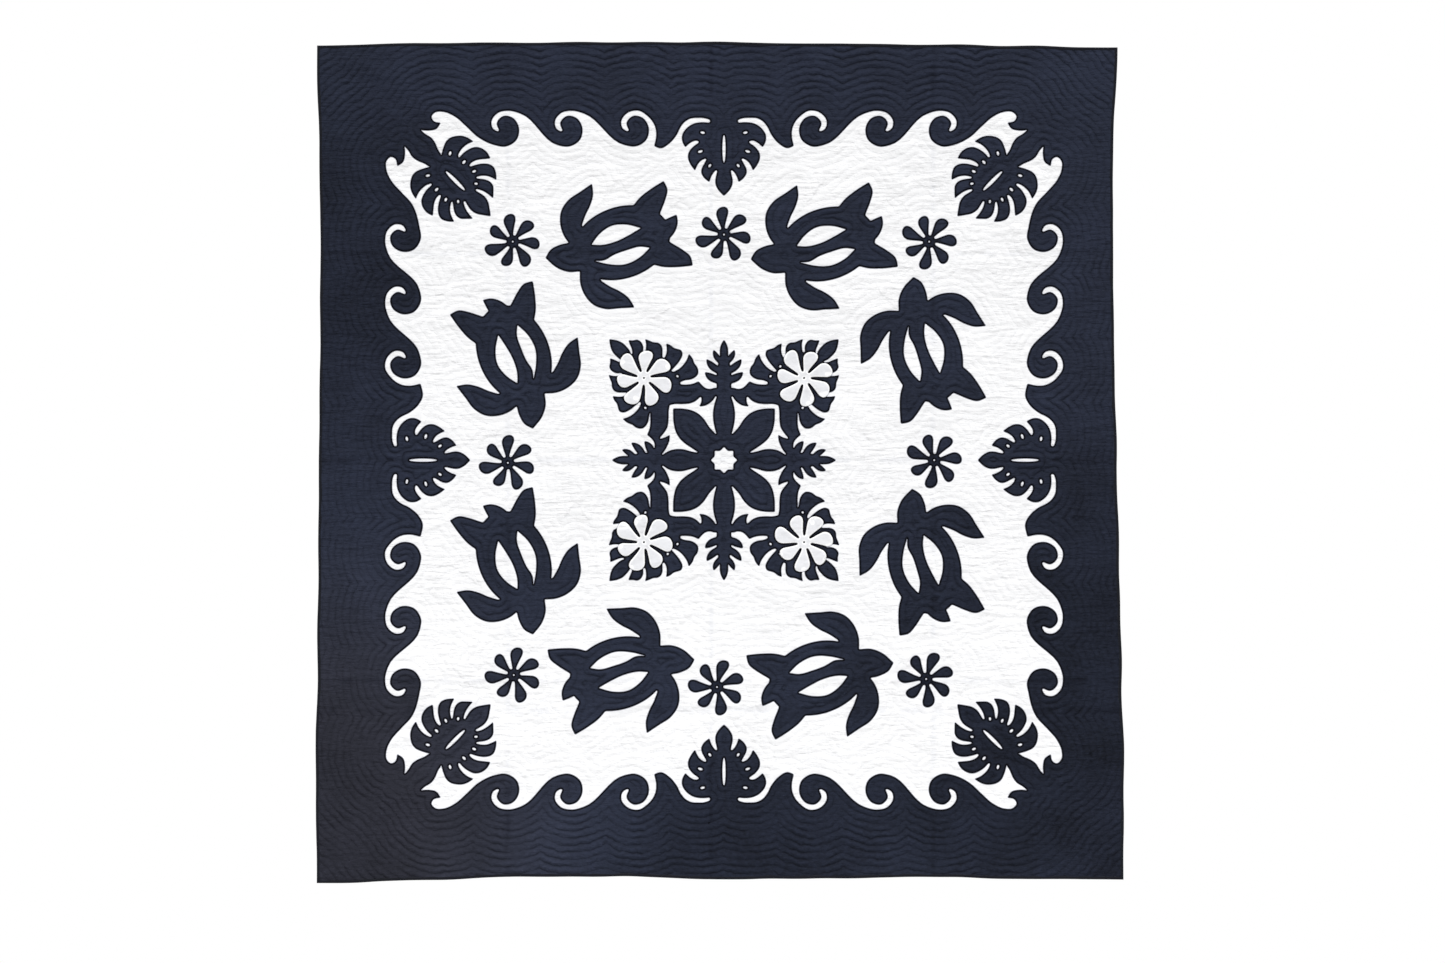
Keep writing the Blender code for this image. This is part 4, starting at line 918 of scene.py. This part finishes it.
def binding_strip(name, run, inward, seed):
    """One side's folded binding. Run is the cloth's outer edge from corner to corner."""
    section = binding_section()
    along = (run[-1] - run[0]) / np.linalg.norm(run[-1] - run[0])
    points, lifts, faces = [], [], []
    share = np.linspace(0, 1, len(run))
    wobble = ripple(np.stack((share * 2.5, 0 * share), 1), 0.06, seed)
    for number, point in enumerate(run):
        mitre = {0: along, len(run) - 1: -along}.get(number, np.zeros(2))
        swell = 1 + 0.05 * wobble[number]
        for depth, lift in section:
            points.append(point + inward * depth * swell + mitre * depth)
            lifts.append(GROUND_THICK / 2 + (lift - GROUND_THICK / 2) * swell)
    size = len(section)
    for ring in range(len(run) - 1):
        a, b = ring * size, (ring + 1) * size
        for k in range(size):
            faces.append([a + k, a + (k - 1) % size, b + (k - 1) % size])
            faces.append([a + k, b + (k - 1) % size, b + k])
    last = (len(run) - 1) * size
    for k in range(1, size // 2):
        near = [k - 1, k, size - 1 - k, size - k]
        for corners in (near[:3], [near[0], near[2], near[3]]):
            faces.append(corners)
            faces.append([last + c for c in corners[::-1]])
    points = np.array(points)
    size = len(points)
    shades = {"rows": np.zeros(size), "away": np.full(size, NO_EDGE), "level": np.zeros(size)}
    return cloth_object(name, points, np.array(lifts), faces, shades)


def bindings():
    """Four strips round the edge, mitred at the corners."""
    outline = cloth_outline(0.0)
    closed = np.vstack((outline, outline[:1]))
    side = len(outline) // 4
    names = ("bottom", "right", "top", "left")
    inwards = ((0.0, 1.0), (-1.0, 0.0), (0.0, -1.0), (1.0, 0.0))
    strips = []
    for number, (name, inward) in enumerate(zip(names, inwards)):
        run = closed[number * side : (number + 1) * side + 1]
        strip = binding_strip(f"bound_{name}", run, np.array(inward), 60 + number)
        declare(strip, f"binding_{name}")
        strips.append(strip)
    return strips


# Materials

def fed(tree, sockets, values):
    """Joins each socket, by name or number, to another or gives it a fixed value."""
    for key, value in values.items():
        if isinstance(value, bpy.types.NodeSocket):
            tree.links.new(value, sockets[key])
        else:
            sockets[key].default_value = value


def made(tree, kind, values=(), **settings):
    """A new node's outputs."""
    node = tree.nodes.new(f"ShaderNode{kind}")
    for key, value in settings.items():
        setattr(node, key, value)
    fed(tree, node.inputs, dict(values))
    return node.outputs


class Nodes:
    """Adds the nodes of a cloth's material, with patterns read in the cloth's own axes."""

    def __init__(self, tree):
        self.tree = tree
        self.place = made(tree, "TexCoord")["Object"]
        self.axes = made(tree, "SeparateXYZ", {0: self.place})

    def math(self, operation, *values):
        """The result of one math node."""
        return made(self.tree, "Math", enumerate(values), operation=operation)[0]

    def times(self, a, b):
        """One value times another."""
        return self.math("MULTIPLY", a, b)

    def times_plus(self, a, b, c):
        """One value times another, plus a third."""
        return self.math("MULTIPLY_ADD", a, b, c)

    def ramped(self, value, low, high, start=0.0, end=1.0):
        """From start at low to end at high, smoothly."""
        values = enumerate((value, low, high, start, end))
        return made(self.tree, "MapRange", values, interpolation_type="SMOOTHSTEP")[0]

    def noise(self, scale, detail=2.0, stretch=(1.0, 1.0, 1.0)):
        """Noise from 0 to 1, stretched along the axes."""
        place = made(self.tree, "Mapping", {"Vector": self.place, "Scale": stretch})[0]
        return made(self.tree, "TexNoise", {"Vector": place, "Scale": scale, "Detail": detail})["Fac"]

    def blended(self, share, a, b):
        """Two colours mixed."""
        return made(self.tree, "Mix", {0: share, 6: a, 7: b}, data_type="RGBA")[2]

    def field(self, name):
        """A number stored at the cloth's points."""
        return made(self.tree, "Attribute", attribute_name=name)["Fac"]

    def creases(self):
        """How much painted shade lies along the creases left by storing it folded, from 0 to 1, broken along
        their length.
        """
        broken = self.ramped(self.noise(22.0, 3.0), 0.35, 0.65)
        dark = 0.0
        for fold in FOLDS:
            axis, at = (0, fold.at) if fold.upright else (2, fold.at - TOP_MIDDLE)
            off = self.math("ABSOLUTE", self.math("SUBTRACT", self.axes[axis], at))
            dark = self.math("MAXIMUM", dark, self.ramped(off, 0.0, 1.6 * fold.width, 1.0, 0.0))
        return self.times(self.times(dark, broken), CREASE_SHADE)

    def around(self, fade, strength):
        """A patch's change in its middle, and nothing from its radius out."""
        centre = (fade.u, 0.0, fade.v - TOP_MIDDLE)
        off = made(self.tree, "VectorMath", {0: self.place, 1: centre}, operation="DISTANCE")["Value"]
        return self.ramped(off, 0.25 * fade.radius, fade.radius, fade.change * strength, 0.0)

    def light_and_shade_patches(self, strength):
        """How much painted light and shade lightens or darkens the cloth in its large areas, about 1."""
        total = 1.0
        for fade in PAINTED_LIGHT_AND_SHADE:
            total = self.math("ADD", total, self.around(fade, strength))
        return total


def matt(name):
    """A new material with its tree and shader."""
    material = bpy.data.materials.new(name)
    material.use_nodes = True
    tree = material.node_tree
    return material, tree, tree.nodes["Principled BSDF"]


def cotton(name):
    """Plain-woven cotton, quilted: rows of stitches, puckers across them, weave, and its turned edge, with
    painted light and shade in its colour.
    """
    look = LOOKS[name]
    material, tree, shader = matt(f"{name}_look")
    n = Nodes(tree)
    rows, away, level = (n.field(item) for item in ("rows", "away", "level"))

    # Rows of stitches, the swell between them, puckers along and across, and the weave
    phase = n.math("PINGPONG", n.math("DIVIDE", rows, PITCH), 0.5)
    line = n.ramped(phase, 0.0, 0.12, 1.0, 0.0)
    dash = n.ramped(n.noise(230.0, 0.0), 0.42, 0.58)
    across, upright = n.noise(1.0, 2.0, (16.0, 30.0, 85.0)), n.noise(1.0, 2.0, (85.0, 30.0, 16.0))
    across = n.times(across, n.times_plus(level, -1.3, 2.0))
    folds = n.times_plus(upright, n.times(level, 0.4), across)
    folds = n.times_plus(n.noise(1.0, 2.0, (42.0, 30.0, 120.0)), 0.6, folds)
    folds = n.times_plus(n.noise(1.0, 2.0, (120.0, 60.0, 270.0)), 0.4, folds)
    weave = n.times(*(n.math("SINE", n.times(n.axes[axis], 2 * np.pi / THREAD)) for axis in (0, 2)))
    stitched = n.times(line, n.times_plus(dash, 0.5, 0.5))
    crest = n.math("ABSOLUTE", n.math("SINE", n.times(rows, np.pi / PITCH)))
    broken = n.ramped(n.noise(14.0, 3.0), 0.32, 0.68, 0.15, 1.2)
    plain = n.times(broken, n.times_plus(level, 0.6, 0.4))
    height = n.times_plus(stitched, -look.line_depth, n.times(n.times(crest, plain), look.row_height))
    height = n.times_plus(folds, look.wrinkle, height)
    height = n.times_plus(n.noise(140.0, 3.0), 0.0003, height)
    height = n.times_plus(weave, 0.00003, height)
    bump = made(tree, "Bump", {"Distance": 1.0, "Strength": 1.0, "Height": height})[0]

    # Colour: worn, mottled, and painted with light and shade in its rows, creases and large patches and at
    # its edge
    # Painted light and shade show most where the rows run level, as they would under the light from above
    seen = n.times(broken, n.times_plus(level, 0.75, 0.25))
    worn = n.blended(n.around(WORN, look.fade), look.colour, WORN_COLOUR)
    # Painted shade in the rows of stitches
    colour = n.blended(n.times(line, n.times(seen, LINE_SHADE)), worn, look.groove)
    # Painted shade along the creases
    colour = n.blended(n.creases(), colour, look.groove)
    uneven = n.math("ADD", n.noise(5.0, 3.0), n.noise(90.0, 3.0, (1.0, 1.0, 1.6)))
    # Mottled, with painted light and shade in large patches
    tint = n.times_plus(n.math("SUBTRACT", uneven, 1.0), look.mottle * 2, n.light_and_shade_patches(look.fade))
    # Painted light on the crests between the rows and painted shade in their hollows
    shade = n.times(n.math("SUBTRACT", crest, 0.62), n.times(seen, look.row_shade))
    tint = n.times(tint, n.math("ADD", shade, 1.0))
    tint = n.times_plus(weave, look.mottle * 0.4, tint)
    colour = made(tree, "VectorMath", {0: colour, "Scale": tint}, operation="SCALE")[0]
    # Painted shadow at the turned edge of the navy and white cloths; the blooms are lighter at their rims
    rim = n.ramped(away, look.edge_width * 0.35, look.edge_width, 1.0, 0.0)
    colour = n.blended(rim, colour, look.edge)
    rough = n.ramped(uneven, 0.6, 1.4, *ROUGHNESS)
    fed(tree, shader.inputs, {"Base Color": colour, "Roughness": rough, "Normal": bump})
    shader.inputs["Specular IOR Level"].default_value = 0.1
    shader.inputs["Sheen Weight"].default_value = look.sheen
    shader.inputs["Sheen Roughness"].default_value = 0.6
    return material


# Stage

def stage():
    """A white floor well below, a white room, three soft lamps and the photo's camera."""
    scene = bpy.context.scene
    data = bpy.data.meshes.new("floor")
    far = FLOOR_HALF
    corners = [(-far, -far, FLOOR_AT), (far, -far, FLOOR_AT), (far, far, FLOOR_AT), (-far, far, FLOOR_AT)]
    data.from_pydata(corners, [], [(0, 1, 2, 3)])
    floor = bpy.data.objects.new("floor", data)
    material, _, shader = matt("floor_white")
    shader.inputs["Base Color"].default_value = FLOOR_COLOUR
    shader.inputs["Roughness"].default_value = 0.9
    data.materials.append(material)
    scene.collection.objects.link(floor)
    world = bpy.data.worlds.new("room")
    scene.world = world
    world.use_nodes = True
    tree = world.node_tree
    tree.nodes.clear()
    strengths = (WORLD_LIGHT, 1.0)
    light, seen = (made(tree, "Background", {"Color": (1, 1, 1, 1), "Strength": s})[0] for s in strengths)
    is_seen = made(tree, "LightPath")["Is Camera Ray"]
    made(tree, "OutputWorld", {0: made(tree, "MixShader", {0: is_seen, 1: light, 2: seen})[0]})
    for lamp in LAMPS:
        sun = bpy.data.lights.new(lamp.name, "SUN")
        sun.energy = lamp.energy
        sun.angle = np.radians(lamp.spread)
        holder = bpy.data.objects.new(lamp.name, sun)
        holder.rotation_mode = "QUATERNION"
        holder.rotation_quaternion = Vector(lamp.towards).to_track_quat("-Z", "Y")
        holder.location = -4 * Vector(lamp.towards)
        scene.collection.objects.link(holder)
    camera = bpy.data.cameras.new("camera")
    camera.lens = LENS
    camera.sensor_width = SENSOR
    camera.clip_end = 200.0
    holder = bpy.data.objects.new("camera", camera)
    holder.location = (LOOK_AT[0], -PHOTO_WIDTH * LENS / SENSOR, LOOK_AT[1])
    holder.rotation_euler = (np.pi / 2, 0, 0)
    scene.collection.objects.link(holder)
    scene.camera = holder
    scene.view_settings.view_transform = "Standard"


def main():
    """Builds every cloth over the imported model."""
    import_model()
    pieces = drawn_pieces()
    outer = pieces["edge_frame"][0]
    outlines = [loop for loops in pieces.values() for loop in loops if loop is not outer]
    tree = tree_of(outlines)
    edge_tree = tree_of([outer])
    on_rows = along_rows(hex_points(SPACING), tree, PITCH / ROW_SHARES, 1, SPACING * 0.5)
    free = np.vstack((ring_points(outlines, tree), on_rows))
    flat, taken = planar(pieces, free)
    fields = Fields(flat, tree, edge_tree)
    looks = {name: cotton(name) for name in LOOKS}
    top, backing = ground_cloths(flat, fields, taken["open_ground"], outer, tree, edge_tree)
    for piece in (top, backing):
        piece.data.materials.append(looks["white_cotton"])
        declare(piece, "quilt_ground")
    for name, loops in pieces.items():
        is_bloom = name.startswith("bloom")
        piece = sewn_cloth(f"sewn_{name}", flat, taken[name], fields, 2 if is_bloom else 1)
        slot = "bloom_cotton" if is_bloom else "navy_cotton"
        piece.data.materials.append(looks[slot])
        declare(piece, name)
    for strip in bindings():
        strip.data.materials.append(looks["binding_cotton"])
    stage()


main()
